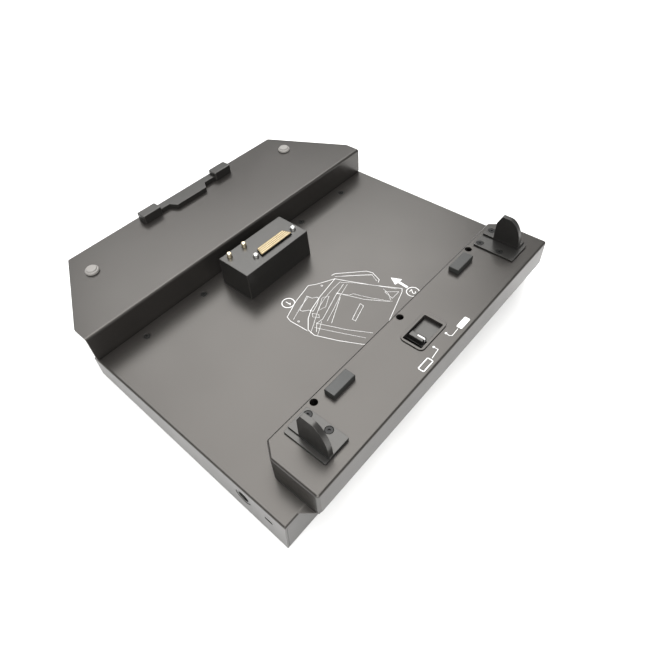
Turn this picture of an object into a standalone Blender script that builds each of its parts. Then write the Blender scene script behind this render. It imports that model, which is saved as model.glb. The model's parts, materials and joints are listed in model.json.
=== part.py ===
"""Docking station for a notebook computer, in metres, +Z up.

The station is a wedge of folded sheet steel. The user sits on the -Y side. Two frames hold the model:
the level frame has its floor on the table, and the sloping frame lies in the wedge's top plate, with
its Y axis running up the slope from the foot of the front riser and its Z axis square to the plate.
"""

import math

import bmesh
import bpy
from mathutils import Matrix, Vector

NAME = "docking_station"

# Sheet metal and clearances
SHEET = 0.0015
GAP = 0.0003
BEND = 0.0016
SEAM = 0.0003

# Wedge base
WIDTH = 0.330
HALF = WIDTH / 2
TILT = math.radians(4.6)
FOOT_HEIGHT = 0.0017
BASE_BOTTOM = 0.0020
FLOOR_HEIGHT = 0.0246
BASE_FRONT = -0.0048
BASE_REAR = 0.2063
FLOOR_START = 0.0008

# Front shelf, in the sloping frame
SHELF_FRONT = -0.0941
SHELF_TOP = 0.0254
SHELF_HALF_FRONT = 0.1236
SHELF_CORNER = -0.0162
SHELF_FLANGE = 0.0220

# Rear platform, in the sloping frame
PLATFORM_HALF = 0.1450
PLATFORM_FRONT = 0.1675
PLATFORM_REAR = 0.2184
PLATFORM_TOP = 0.0257
PLATFORM_CHAMFER_X = 0.0080
PLATFORM_CHAMFER_Y = 0.0110
REAR_SKIRT_BOTTOM = 0.0030
LEDGE_REAR = 0.2166
LEDGE_HALF = 0.1440
LEDGE_FLARE = 0.0090
VENT_X = 0.0970
VENT_Y = 0.1722
VENT_RADIUS = 0.0029

# Sections where a fold passes under another sheet
INNER_HALF = HALF - SHEET - GAP

# Countersunk screws
SCREW_HEAD = 0.0027
SCREW_SHANK = 0.0014
SCREW_CONE = 0.0013
SCREW_SINK = 0.0001
SHELF_SCREWS = ((0.1244, 0.0102), (0.0635, 0.0102), (-0.0620, 0.0102), (-0.1225, 0.0102))

# Docking connector block, in the sloping frame
BLOCK_X = (-0.0322, 0.0415)
BLOCK_Y = (0.0132, 0.0484)
BLOCK_TOP = 0.0269
BLOCK_WALL = 0.0020
BLOCK_DRAFT = 0.0007
PLUG_X = -0.0020
PLUG_Y = 0.0362
PLUG_LENGTH = 0.0374
PLUG_WIDTH = 0.0092
PLUG_TAPER = 0.0032
PLUG_RISE = 0.0019
POST_X = (0.0198, -0.0258)
POST_Y = 0.0368
POST_RADIUS = 0.0024
POST_RISE = 0.0032
POWER_PIN_X = (0.0339, 0.0170)
POWER_PIN_Y = 0.0190
POWER_PIN_RADIUS = 0.0022
POWER_PIN_RISE = 0.0046
POWER_PIN_TRAVEL = 0.0025

# Selector, in the sloping frame
WINDOW_X = 0.0016
WINDOW_Y = 0.1940
WINDOW_LENGTH = 0.0286
WINDOW_WIDTH = 0.0162
RIM_X = 0.0006
RIM_LENGTH = 0.0344
RIM_WIDTH = 0.0204
RIM_RISE = 0.0007
COLLAR_WALL = 0.0011
COLLAR_BOTTOM = 0.0236
SLIDER_THICK = 0.0018
SLIDER_X = (-0.0210, 0.0095)
SLIDER_HALF_WIDTH = 0.0076
TAB_X = (0.0042, 0.0095)
TAB_Y = (0.1866, 0.1989)
TAB_RISE = 0.0023
TAB_BEVEL = 0.0009
SELECTOR_TRAVEL = 0.0163

# Guides, in the sloping frame
GUIDE_PLATE = 0.0012
GUIDE_Y = (0.1725, 0.2083)
FIN_THICK = 0.0040
FIN_SET_BACK = 0.0098
RIGHT_PLATE_X = (0.1037, 0.1265)
RIGHT_FOOT_X = (0.1037, 0.1225)
LEFT_PLATE_X = (-0.1300, -0.1040)
LEFT_FOOT_X = (-0.1300, -0.1190)
RIGHT_SCREWS = ((0.1076, 0.1768), (0.1076, 0.1951))
LEFT_INNER_SCREWS = ((-0.1082, 0.1764), (-0.1082, 0.1943))
LEFT_OUTER_SCREWS = ((-0.1264, 0.1768), (-0.1264, 0.1951))

# Rubber
PAD_X = 0.0761
PAD_Y = 0.1775
PAD_SIZE = (0.0222, 0.0088, 0.0046)
BUMPER_X = 0.1180
BUMPER_Y = -0.0636
BUMPER_RADIUS = 0.0060
FOOT_RADIUS = 0.0080
FOOT_X = 0.1400
FOOT_Y = (0.0180, 0.1880)

# Front catch, in the sloping frame
CATCH_X = -0.0030
CATCH_Y = (-0.0895, -0.0810)
CATCH_HALF = 0.0535
CATCH_BLOCK = 0.0200
CATCH_BLOCK_REAR = -0.0790
CATCH_BLOCK_RISE = 0.0085
CATCH_BAR_RISE = 0.0046
CATCH_TAB_REAR = -0.0735

# Side wall fittings, in the level frame
JACK_Y = 0.1666
JACK_Z = 0.0244
JACK_RADIUS = 0.0068
LOCK_Y = 0.1905
LOCK_Z = 0.0250
LOCK_LENGTH = 0.0072
LOCK_WIDTH = 0.0033

# Circuit boards, in the level frame
BOARD_THICK = 0.0016
BOARD_Z = 0.0080
BOARD_X = (-0.0700, 0.1300)
BOARD_Y = (0.1150, 0.2040)
PORT_Z = BOARD_Z + BOARD_THICK + GAP
PORT_FACE = BASE_REAR - 0.0002
COVER_SCREWS = ((0.1500, 0.0080), (-0.1500, 0.0080), (0.1500, 0.1950), (-0.1500, 0.1950))

parts = None
cutters = None
frames = {}


# ---------------------------------------------------------------- scene and materials


def clear_scene():
    for old in list(bpy.data.objects):
        bpy.data.objects.remove(old, do_unlink=True)


def new_collection(name):
    collection = bpy.data.collections.new(name)
    bpy.context.scene.collection.children.link(collection)
    return collection


def new_frame(name, location, tilt):
    frame = bpy.data.objects.new(name, None)
    frame.location = location
    frame.rotation_euler = (tilt, 0, 0)
    parts.objects.link(frame)
    return frame


def material(name, colour, roughness, metallic=0.0):
    made = bpy.data.materials.new(name)
    made.use_nodes = True
    shader = made.node_tree.nodes["Principled BSDF"]
    shader.inputs["Base Color"].default_value = (*colour, 1)
    shader.inputs["Roughness"].default_value = roughness
    shader.inputs["Metallic"].default_value = metallic
    return made


def make_materials():
    return {
        "paint": material("charcoal_paint", (0.10, 0.098, 0.094), 0.42),
        "moulding": material("black_moulding", (0.022, 0.022, 0.021), 0.45),
        "rubber": material("dark_rubber", (0.045, 0.048, 0.045), 0.75),
        "bumper": material("grey_rubber", (0.52, 0.50, 0.48), 0.60),
        "gold": material("gold_plate", (0.83, 0.62, 0.30), 0.30, 1.0),
        "steel": material("bright_steel", (0.80, 0.80, 0.78), 0.22, 1.0),
        "screw": material("black_screw", (0.05, 0.05, 0.05), 0.35, 0.8),
        "board": material("green_board", (0.02, 0.13, 0.06), 0.50),
        "ribbon": material("grey_ribbon", (0.35, 0.35, 0.36), 0.55),
    }


# ---------------------------------------------------------------- shapes


def rounded(corners, radii, steps=3):
    """The outline through these corners, each one cut back to an arc of its radius."""
    count = len(corners)
    if not isinstance(radii, (list, tuple)):
        radii = [radii] * count
    outline = []
    for index, radius in enumerate(radii):
        corner = Vector(corners[index])
        before = (Vector(corners[index - 1]) - corner).normalized()
        after = (Vector(corners[(index + 1) % count]) - corner).normalized()
        if radius <= 0:
            outline.append(tuple(corner))
            continue
        half = before.angle(after) / 2
        middle = corner + (before + after).normalized() * radius / math.sin(half)
        start = corner + before * radius / math.tan(half) - middle
        end = corner + after * radius / math.tan(half) - middle
        for step in range(steps + 1):
            spoke = start.lerp(end, step / steps).normalized() * radius
            outline.append(tuple(middle + spoke))
    return outline


def rectangle(x, y):
    return [(x[0], y[0]), (x[1], y[0]), (x[1], y[1]), (x[0], y[1])]


def prism(outline, low, high, along="Z"):
    """A mesh of the flat outline drawn out from low to high along an axis.

    The outline is in (x, y) along Z, in (y, z) along X, and in (x, z) along Y.
    """
    curve = bpy.data.curves.new("outline", "CURVE")
    curve.dimensions = "2D"
    curve.fill_mode = "BOTH"
    curve.extrude = (high - low) / 2
    spline = curve.splines.new("POLY")
    spline.points.add(len(outline) - 1)
    for point, (a, b) in zip(spline.points, outline):
        point.co = (a, b, 0, 1)
    spline.use_cyclic_u = True
    holder = bpy.data.objects.new("outline", curve)
    bpy.context.scene.collection.objects.link(holder)
    graph = bpy.context.evaluated_depsgraph_get()
    mesh = bpy.data.meshes.new_from_object(holder.evaluated_get(graph))
    bpy.data.objects.remove(holder)
    middle = (low + high) / 2
    turn = {
        "Z": Matrix.Translation((0, 0, middle)),
        "X": Matrix(((0, 0, 1, middle), (1, 0, 0, 0), (0, 1, 0, 0), (0, 0, 0, 1))),
        "Y": Matrix(((1, 0, 0, 0), (0, 0, -1, middle), (0, 1, 0, 0), (0, 0, 0, 1))),
    }[along]
    mesh.transform(turn)
    return tidy(mesh)


def tidy(mesh):
    """Welds loose caps and turns every face outwards."""
    work = bmesh.new()
    work.from_mesh(mesh)
    bmesh.ops.remove_doubles(work, verts=work.verts, dist=1e-6)
    bmesh.ops.recalc_face_normals(work, faces=work.faces)
    work.to_mesh(mesh)
    work.free()
    return mesh


def block(x, y, z, bevel=0.0, edges=None, segments=2):
    """A box between three pairs of coordinates. edges picks the edges that the bevel rounds."""
    work = bmesh.new()
    bmesh.ops.create_cube(work, size=1)
    size = Vector((x[1] - x[0], y[1] - y[0], z[1] - z[0]))
    middle = Vector((x[0] + x[1], y[0] + y[1], z[0] + z[1])) / 2
    bmesh.ops.scale(work, vec=size, verts=work.verts)
    bmesh.ops.translate(work, vec=middle, verts=work.verts)
    if bevel:
        bevel_edges(work, bevel, edges, segments)
    return finished(work)


def above(level):
    """A choice of the edges that lie wholly above a level."""
    return lambda edge: min(vert.co.z for vert in edge.verts) > level


def bevel_edges(work, width, chosen, segments):
    picked = [edge for edge in work.edges if chosen is None or chosen(edge)]
    bmesh.ops.bevel(
        work, geom=picked, offset=width, segments=segments, profile=0.5, affect="EDGES"
    )


def finished(work):
    mesh = bpy.data.meshes.new("solid")
    work.to_mesh(mesh)
    work.free()
    return mesh


def rounded_prism(outline, low, high, bevel, along="Z", segments=2):
    """A prism whose upper rim is rounded, as where sheet metal folds down."""
    mesh = prism(outline, low, high, along)
    work = bmesh.new()
    work.from_mesh(mesh)
    level = max(vert.co.z for vert in work.verts) - 1e-6
    rim = [e for e in work.edges if all(v.co.z > level for v in e.verts) and len(e.link_faces) == 2]
    rim = [e for e in rim if e.calc_face_angle(0) > 0.5]
    bmesh.ops.bevel(work, geom=rim, offset=bevel, segments=segments, profile=0.5, affect="EDGES")
    work.to_mesh(mesh)
    work.free()
    return mesh


def turned(profile, centre, segments=24, along="Z"):
    """A solid of revolution made by a stack of rings, given as (radius, height) pairs."""
    work = bmesh.new()
    rings = []
    for radius, height in profile:
        ring = [
            work.verts.new((radius * math.cos(a), radius * math.sin(a), height))
            for a in (2 * math.pi * step / segments for step in range(segments))
        ]
        rings.append(ring)
    for lower, upper in zip(rings, rings[1:]):
        for step in range(segments):
            after = (step + 1) % segments
            work.faces.new((lower[step], lower[after], upper[after], upper[step]))
    work.faces.new(rings[0])
    work.faces.new(rings[-1])
    bmesh.ops.recalc_face_normals(work, faces=work.faces)
    mesh = finished(work)
    if along == "X":
        mesh.transform(Matrix.Rotation(math.pi / 2, 4, "Y"))
    if along == "Y":
        mesh.transform(Matrix.Rotation(-math.pi / 2, 4, "X"))
    mesh.transform(Matrix.Translation(centre))
    return mesh


# ---------------------------------------------------------------- objects


def add(name, mesh, finish, frame="slope", origin=(0, 0, 0)):
    """A sub-part whose mesh is given in its frame's coordinates, with its origin at origin."""
    mesh.name = name
    mesh.transform(Matrix.Translation(-Vector(origin)))
    made = bpy.data.objects.new(name, mesh)
    made.parent = frames[frame]
    made.location = origin
    made.data.materials.append(finishes[finish])
    mesh.shade_smooth()
    mesh.set_sharp_from_angle(angle=math.radians(35))
    parts.objects.link(made)
    return made


def helper(mesh, frame="slope"):
    made = bpy.data.objects.new(f"cutter_{len(cutters.objects):02d}", mesh)
    made.parent = frames[frame]
    made.hide_render = True
    made.display_type = "WIRE"
    cutters.objects.link(made)
    return made


def combine(target, operation, meshes, frame="slope"):
    for mesh in meshes:
        modifier = target.modifiers.new(operation.lower(), "BOOLEAN")
        modifier.operation = operation
        modifier.solver = "EXACT"
        modifier.object = helper(mesh, frame)


def cut(target, *meshes, frame="slope"):
    combine(target, "DIFFERENCE", meshes, frame)


def join(target, *meshes, frame="slope"):
    combine(target, "UNION", meshes, frame)


def cylinder(centre, radius, low, high, segments=20, along="Z"):
    return turned([(radius, low), (radius, high)], centre, segments, along)


# ---------------------------------------------------------------- screws


def screw_mesh(x, y, top, length):
    """A countersunk screw with a hexagon socket, its head's face at the given height."""
    return turned(
        [
            (SCREW_SHANK, -length),
            (SCREW_SHANK, -SCREW_CONE - SCREW_SINK),
            (SCREW_HEAD, -SCREW_SINK - 0.0002),
            (SCREW_HEAD, -SCREW_SINK),
        ],
        (x, y, top),
        16,
    )


def screw_hole(x, y, top, depth):
    """The countersunk hole that leaves the screw a small gap all round."""
    clear = GAP + 0.0001
    return turned(
        [
            (SCREW_SHANK + clear, -depth),
            (SCREW_SHANK + clear, -SCREW_CONE - SCREW_SINK - GAP),
            (SCREW_HEAD + clear, -SCREW_SINK - 0.0002 - GAP),
            (SCREW_HEAD + clear, 0.001),
        ],
        (x, y, top),
        16,
    )


def add_screw(name, x, y, top, length, frame="slope", upward=False):
    mesh = screw_mesh(0, 0, 0, length)
    socket = turned([(0.0011, -0.0009), (0.0011, 0.001)], (0, 0, 0), 6)
    flip = Matrix.Rotation(math.pi, 4, "X") if upward else Matrix()
    place = Matrix.Translation((x, y, top)) @ flip
    mesh.transform(place)
    socket.transform(place)
    made = add(name, mesh, "screw", frame, (x, y, top))
    cut(made, socket, frame=frame)


# ---------------------------------------------------------------- sheet metal


def floor_at(y):
    """Height of the wedge's top plate above the table, in the level frame."""
    return FLOOR_HEIGHT + y * math.tan(TILT)


def base_tray():
    """Top plate, two side walls and the rear wall, folded from one sheet and open below and in front."""
    outer = prism(
        [
            (BASE_FRONT, BASE_BOTTOM),
            (BASE_REAR, BASE_BOTTOM),
            (BASE_REAR, floor_at(BASE_REAR)),
            (BASE_FRONT, floor_at(BASE_FRONT)),
        ],
        -HALF,
        HALF,
        "X",
    )
    work = bmesh.new()
    work.from_mesh(outer)
    bmesh.ops.dissolve_limit(work, angle_limit=0.001, verts=work.verts, edges=work.edges)
    folds = [
        edge
        for edge in work.edges
        if all(v.co.z > floor_at(v.co.y) - 1e-5 for v in edge.verts)
        and not all(v.co.y < BASE_FRONT + 1e-5 for v in edge.verts)
    ]
    bmesh.ops.bevel(work, geom=folds, offset=BEND, segments=3, profile=0.5, affect="EDGES")
    work.to_mesh(outer)
    work.free()
    tray = add("base_tray", outer, "paint", "level")
    under = SHEET / math.cos(TILT)
    inside = prism(
        [
            (BASE_FRONT - 0.01, -0.01),
            (BASE_REAR - SHEET, -0.01),
            (BASE_REAR - SHEET, floor_at(BASE_REAR - SHEET) - under),
            (BASE_FRONT - 0.01, floor_at(BASE_FRONT - 0.01) - under),
        ],
        -HALF + SHEET,
        HALF - SHEET,
        "X",
    )
    cut(tray, inside, frame="level")
    ledge = rounded(
        [
            (-LEDGE_HALF, 0.200),
            (LEDGE_HALF, 0.200),
            (LEDGE_HALF + LEDGE_FLARE, 0.2060),
            (LEDGE_HALF, LEDGE_REAR),
            (-LEDGE_HALF, LEDGE_REAR),
            (-LEDGE_HALF - LEDGE_FLARE, 0.2060),
        ],
        0,
    )
    join(tray, prism(ledge, 0.0001 - SHEET, -0.0001))
    slot = block((-INNER_HALF, INNER_HALF), (-0.02, FLOOR_START), (-0.006, 0.01))
    cut(tray, slot)
    inlet = cylinder((HALF - 0.003, JACK_Y, JACK_Z), JACK_RADIUS + GAP, -0.01, 0.01, 28, "X")
    cut(tray, inlet, frame="level")
    lock = rounded(
        rectangle(
            (LOCK_Y - LOCK_LENGTH / 2, LOCK_Y + LOCK_LENGTH / 2),
            (LOCK_Z - LOCK_WIDTH / 2, LOCK_Z + LOCK_WIDTH / 2),
        ),
        0.0014,
    )
    cut(tray, prism(lock, HALF - 0.008, HALF + 0.004, "X"), frame="level")
    for side in (-1, 1):
        seam = sorted((side * (HALF - SHEET), side * (HALF - SHEET - SEAM)))
        rear = (BASE_REAR - SEAM * 2, BASE_REAR + 0.005)
        cut(tray, block(seam, rear, (-0.01, FLOOR_HEIGHT + 0.0145)), frame="level")
    for x, y in SHELF_SCREWS:
        cut(tray, screw_hole(x, y, 0, 0.01))
    for x, width, height, lift in port_windows():
        window = block(
            (x - width / 2 - GAP, x + width / 2 + GAP),
            (BASE_REAR - 0.006, BASE_REAR + 0.006),
            (PORT_Z + lift - GAP, PORT_Z + lift + height + GAP),
        )
        cut(tray, window, frame="level")


def bottom_cover():
    """Flat pan that closes the wedge from below, with a low wall turned up at the front."""
    cover = add(
        "bottom_cover",
        block(
            (-INNER_HALF, INNER_HALF),
            (BASE_FRONT, BASE_REAR - SHEET - GAP),
            (BASE_BOTTOM, BASE_BOTTOM + SHEET),
        ),
        "paint",
        "level",
    )
    wall_top = floor_at(BASE_FRONT) - 0.0008
    wall = block((-INNER_HALF, INNER_HALF), (BASE_FRONT, BASE_FRONT + SHEET), (BASE_BOTTOM, wall_top))
    join(cover, wall, frame="level")
    for x in (BOARD_X[0] + 0.006, BOARD_X[1] - 0.006):
        for y in (BOARD_Y[0] + 0.006, BOARD_Y[1] - 0.030):
            join(cover, cylinder((x, y, 0), 0.0025, 0.003, BOARD_Z - GAP, 12), frame="level")
    for x, y in COVER_SCREWS:
        hole = screw_hole(0, 0, 0, 0.01)
        hole.transform(Matrix.Translation((x, y, BASE_BOTTOM)) @ Matrix.Rotation(math.pi, 4, "X"))
        cut(cover, hole, frame="level")


def cover_screws():
    for index, (x, y) in enumerate(COVER_SCREWS, 1):
        add_screw(f"cover_screw_{index}", x, y, BASE_BOTTOM, 0.0075, "level", upward=True)


def front_shelf():
    """Shelf, riser and hidden flange: one sheet folded twice, its flange screwed under the top plate."""
    flange_top = -SHEET - GAP
    profile = rounded(
        [
            (SHELF_FRONT - 0.001, SHELF_TOP - SHEET),
            (-SHEET, SHELF_TOP - SHEET),
            (-SHEET, flange_top - SHEET),
            (SHELF_FLANGE, flange_top - SHEET),
            (SHELF_FLANGE, flange_top),
            (0, flange_top),
            (0, SHELF_TOP),
            (SHELF_FRONT - 0.001, SHELF_TOP),
        ],
        [0, 0.0010, 0.0024, 0, 0, 0.0006, 0.0024, 0],
        4,
    )
    shelf = add("front_shelf", prism(profile, -HALF, HALF, "X"), "paint")
    plan = rounded(
        [
            (-SHELF_HALF_FRONT, SHELF_FRONT),
            (SHELF_HALF_FRONT, SHELF_FRONT),
            (HALF - 0.0002, SHELF_CORNER),
            (HALF - 0.0002, 0.03),
            (-HALF + 0.0002, 0.03),
            (-HALF + 0.0002, SHELF_CORNER),
        ],
        [0.002, 0.002, 0.006, 0, 0, 0.006],
        4,
    )
    combine(shelf, "INTERSECT", [prism(plan, -0.02, 0.05)])
    for side in (-1, 1):
        ends = sorted((side * (INNER_HALF - GAP), side * (HALF + 0.01)))
        cut(shelf, block(ends, (-0.01, 0.04), (-0.02, GAP + 0.0001)))
    for x, y in SHELF_SCREWS:
        cut(shelf, cylinder((x, y, 0), SCREW_SHANK + GAP + 0.0001, -0.01, 0.0, 16))


def shelf_screws():
    for index, (x, y) in enumerate(SHELF_SCREWS, 1):
        add_screw(f"shelf_screw_{index}", x, y, 0, 0.0070)


def platform_outline(inset):
    """Plan of the rear platform, drawn in by an inset from its outer faces."""
    half = PLATFORM_HALF - inset
    front = PLATFORM_FRONT + inset
    rear = PLATFORM_REAR - inset
    slant = inset * 0.41
    return [
        (-half + PLATFORM_CHAMFER_X - slant, front),
        (half - PLATFORM_CHAMFER_X + slant, front),
        (half, front + PLATFORM_CHAMFER_Y - slant),
        (half, rear),
        (-half, rear),
        (-half, front + PLATFORM_CHAMFER_Y - slant),
    ]


def rear_platform():
    """Folded cover with a top and skirts on all four sides, open below."""
    outer = rounded_prism(rounded(platform_outline(0), 0.0012, 2), GAP, PLATFORM_TOP, BEND)
    cover = add("rear_platform", outer, "paint")
    inside = rounded(platform_outline(SHEET), 0.0006, 2)
    cut(cover, rounded_prism(inside, -0.01, PLATFORM_TOP - SHEET, 0.0004, segments=1))
    rear = (PLATFORM_REAR - SHEET - 0.0004, PLATFORM_REAR + 0.01)
    cut(cover, block((-HALF, HALF), rear, (-0.01, REAR_SKIRT_BOTTOM)))
    collar_half = (WINDOW_LENGTH / 2 + COLLAR_WALL + GAP, WINDOW_WIDTH / 2 + COLLAR_WALL + GAP)
    window = rounded(centred(WINDOW_X, WINDOW_Y, *collar_half), 0.0016)
    cut(cover, prism(window, PLATFORM_TOP - 0.006, PLATFORM_TOP + 0.006))
    for x in (-VENT_X, 0, VENT_X):
        cut(cover, cylinder((x, VENT_Y, PLATFORM_TOP), VENT_RADIUS, -0.006, 0.006, 24))
    for x, y in RIGHT_SCREWS + LEFT_INNER_SCREWS + LEFT_OUTER_SCREWS:
        cut(cover, cylinder((x, y, PLATFORM_TOP), SCREW_SHANK + GAP + 0.0001, -0.006, 0.006, 12))


def centred(x, y, half_x, half_y):
    return rectangle((x - half_x, x + half_x), (y - half_y, y + half_y))


# ---------------------------------------------------------------- guides and stops


def fin_outline(foot, top, length):
    """Side view of a guide fin: upright towards the user, falling in a curve to the rear."""
    front = GUIDE_Y[0] + FIN_SET_BACK
    rear = front + length
    crest = front + 0.48 * length
    points = [(front, foot), (front + 0.0003, top - 0.0078), (front + 0.17 * length, top), (crest, top)]
    steps = 7
    for step in range(1, steps + 1):
        angle = math.pi / 2 * step / steps
        y = crest + (rear - crest) * math.sin(angle) ** 1.12
        z = foot + 0.001 + (top - foot - 0.001) * math.cos(angle) ** 0.92
        points.append((y, z))
    points.append((rear, foot))
    return points[::-1]


def guide(side, plate_x, foot_x, fin_x, fin_rise, fin_length, outer_corner):
    """One rear guide: a spacer plate on the platform, and on it a foot that turns up into the fin."""
    plate_low = PLATFORM_TOP + GAP
    foot_low = plate_low + GUIDE_PLATE + GAP
    foot_high = foot_low + GUIDE_PLATE
    plate = rounded(rectangle(plate_x, GUIDE_Y), [0.0008, 0.0008, 0.0008, outer_corner], 2)
    add(f"guide_plate_{side}", prism(plate, plate_low, plate_low + GUIDE_PLATE), "moulding")
    foot_y = (GUIDE_Y[0], GUIDE_Y[0] + FIN_SET_BACK + fin_length + 0.0004)
    foot = rounded(rectangle(foot_x, foot_y), 0.0006, 2)
    fin = add(f"guide_fin_{side}", prism(foot, foot_low, foot_high), "moulding")
    outline = fin_outline(foot_low + 0.0002, PLATFORM_TOP + fin_rise, fin_length)
    join(fin, prism(outline, *fin_x, "X"))
    return foot_high, plate_low + GUIDE_PLATE


def guides():
    right_fin = (RIGHT_FOOT_X[1] - FIN_THICK, RIGHT_FOOT_X[1] - 0.0001)
    left_fin = (LEFT_FOOT_X[1] - FIN_THICK - 0.0001, LEFT_FOOT_X[1] - 0.0001)
    right_top, _ = guide("right", RIGHT_PLATE_X, RIGHT_FOOT_X, right_fin, 0.0286, 0.0256, 0.0008)
    left_top, left_plate_top = guide("left", LEFT_PLATE_X, LEFT_FOOT_X, left_fin, 0.0262, 0.0224, 0.0030)
    fasten("right", RIGHT_SCREWS, right_top, ("guide_fin_right", "guide_plate_right"))
    fasten("left_outer", LEFT_OUTER_SCREWS, left_top, ("guide_fin_left", "guide_plate_left"))
    fasten("left_inner", LEFT_INNER_SCREWS, left_plate_top, ("guide_plate_left",))


def fasten(label, places, top, clamped):
    """Countersunk screws down through the named pieces and into the platform."""
    for index, (x, y) in enumerate(places, 1):
        for name in clamped:
            cut(bpy.data.objects[name], screw_hole(x, y, top, 0.008))
        add_screw(f"guide_screw_{label}_{index}", x, y, top, 0.0090)


def pads():
    for side, label in ((1, "right"), (-1, "left")):
        x = side * PAD_X
        low = PLATFORM_TOP + GAP
        mesh = block(
            (x - PAD_SIZE[0] / 2, x + PAD_SIZE[0] / 2),
            (PAD_Y - PAD_SIZE[1] / 2, PAD_Y + PAD_SIZE[1] / 2),
            (low, low + PAD_SIZE[2]),
            0.0006,
            above(low + 0.001),
        )
        add(f"rest_pad_{label}", mesh, "rubber")


def bumpers():
    low = SHELF_TOP + GAP
    for side, label in ((1, "right"), (-1, "left")):
        profile = [
            (BUMPER_RADIUS, low),
            (BUMPER_RADIUS, low + 0.0014),
            (BUMPER_RADIUS - 0.0005, low + 0.0022),
            (BUMPER_RADIUS - 0.0013, low + 0.0023),
            (BUMPER_RADIUS - 0.0016, low + 0.0033),
            (BUMPER_RADIUS - 0.0026, low + 0.0038),
        ]
        add(f"bumper_{label}", turned(profile, (side * BUMPER_X, BUMPER_Y, 0), 28), "bumper")


def front_catch():
    """Low bar along the shelf's front edge, with a taller stop block at each end and a middle tongue."""
    low = SHELF_TOP + GAP
    middle = 0.0015
    bar_half = CATCH_HALF - CATCH_BLOCK + 0.002
    bar = [
        (CATCH_X - bar_half, CATCH_Y[0]),
        (CATCH_X + bar_half, CATCH_Y[0]),
        (CATCH_X + bar_half, CATCH_Y[1]),
        (CATCH_X + middle + 0.0220, CATCH_Y[1]),
        (CATCH_X + middle + 0.0175, CATCH_TAB_REAR),
        (CATCH_X + middle - 0.0175, CATCH_TAB_REAR),
        (CATCH_X + middle - 0.0220, CATCH_Y[1]),
        (CATCH_X - bar_half, CATCH_Y[1]),
    ]
    bar = rounded_prism(bar, low, SHELF_TOP + CATCH_BAR_RISE, 0.0004, segments=1)
    catch = add("front_catch", bar, "moulding")
    for side in (-1, 1):
        ends = sorted((CATCH_X + side * CATCH_HALF, CATCH_X + side * (CATCH_HALF - CATCH_BLOCK)))
        stop = rounded(rectangle(ends, (CATCH_Y[0] - 0.0002, CATCH_BLOCK_REAR)), 0.0014, 2)
        join(catch, rounded_prism(stop, low + 0.00005, SHELF_TOP + CATCH_BLOCK_RISE, 0.0008))


def rubber_feet():
    corners = [(x, y) for y in FOOT_Y for x in (-FOOT_X, FOOT_X)]
    for index, (x, y) in enumerate(corners, 1):
        profile = [(FOOT_RADIUS - 0.0006, 0), (FOOT_RADIUS, 0.0006), (FOOT_RADIUS, FOOT_HEIGHT)]
        add(f"foot_{index}", turned(profile, (x, y, 0), 20), "rubber", "level")


# ---------------------------------------------------------------- docking connector


def plug_outline(grow):
    """D-shaped outline of the contact field, its long side towards the rear."""
    long_half = PLUG_LENGTH / 2 + grow
    short_half = long_half - PLUG_TAPER
    half = PLUG_WIDTH / 2 + grow
    corners = [
        (PLUG_X - short_half, PLUG_Y - half),
        (PLUG_X + short_half, PLUG_Y - half),
        (PLUG_X + long_half, PLUG_Y + half),
        (PLUG_X - long_half, PLUG_Y + half),
    ]
    return rounded(corners, [0.0018, 0.0018, 0.0008, 0.0008], 3)


def connector_block():
    """Moulded housing that lifts the connector to the notebook's underside; a shell open below."""
    base = GAP
    raised = lambda edge: max(vert.co.z for vert in edge.verts) > base + 0.001
    outer = block(BLOCK_X, BLOCK_Y, (base, BLOCK_TOP), 0.0007, raised)
    middle = Vector(((BLOCK_X[0] + BLOCK_X[1]) / 2, (BLOCK_Y[0] + BLOCK_Y[1]) / 2, 0))
    for vert in outer.vertices:
        if vert.co.z < base + 0.001:
            vert.co.x += math.copysign(BLOCK_DRAFT, vert.co.x - middle.x)
            vert.co.y += math.copysign(BLOCK_DRAFT, vert.co.y - middle.y)
    housing = add("connector_block", outer, "moulding")
    hollow = block(
        (BLOCK_X[0] + BLOCK_WALL, BLOCK_X[1] - BLOCK_WALL),
        (BLOCK_Y[0] + BLOCK_WALL, BLOCK_Y[1] - BLOCK_WALL),
        (-0.01, BLOCK_TOP - BLOCK_WALL),
    )
    cut(housing, hollow)
    cut(housing, prism(plug_outline(GAP), BLOCK_TOP - 0.006, BLOCK_TOP + 0.006))
    for x in POST_X:
        cut(housing, cylinder((x, POST_Y, BLOCK_TOP), POST_RADIUS + GAP, -0.006, 0.006, 20))
    for x in POWER_PIN_X:
        cut(housing, cylinder((x, POWER_PIN_Y, BLOCK_TOP), POWER_PIN_RADIUS + GAP, -0.006, 0.006, 18))


def connector_board():
    low = 0.0040
    inset = BLOCK_WALL + 0.0008
    board = rectangle((BLOCK_X[0] + inset, BLOCK_X[1] - inset), (BLOCK_Y[0] + inset, BLOCK_Y[1] - inset))
    add("connector_board", prism(board, low, low + BOARD_THICK), "board")
    return low + BOARD_THICK + GAP


def connector_pieces():
    """Contact insert, its gold contact field, two guide posts and two sprung power pins on their board."""
    seat = connector_board()
    body_top = BLOCK_TOP + PLUG_RISE - 0.0006
    add("contact_insert", prism(plug_outline(-0.0003), seat, body_top), "moulding")
    field = (body_top + GAP, BLOCK_TOP + PLUG_RISE + 0.0002)
    add("contact_field", rounded_prism(plug_outline(-0.0001), *field, 0.0002, segments=1), "gold")
    for label, x in zip(("right", "left"), POST_X):
        top = BLOCK_TOP + POST_RISE
        profile = [
            (POST_RADIUS, seat),
            (POST_RADIUS, top - 0.0012),
            (POST_RADIUS - 0.0004, top - 0.0004),
            (POST_RADIUS - 0.0011, top),
        ]
        add(f"guide_post_{label}", turned(profile, (x, POST_Y, 0), 20), "steel")
    for label, x in zip(("right", "left"), POWER_PIN_X):
        power_pin(label, x, seat)


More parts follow.
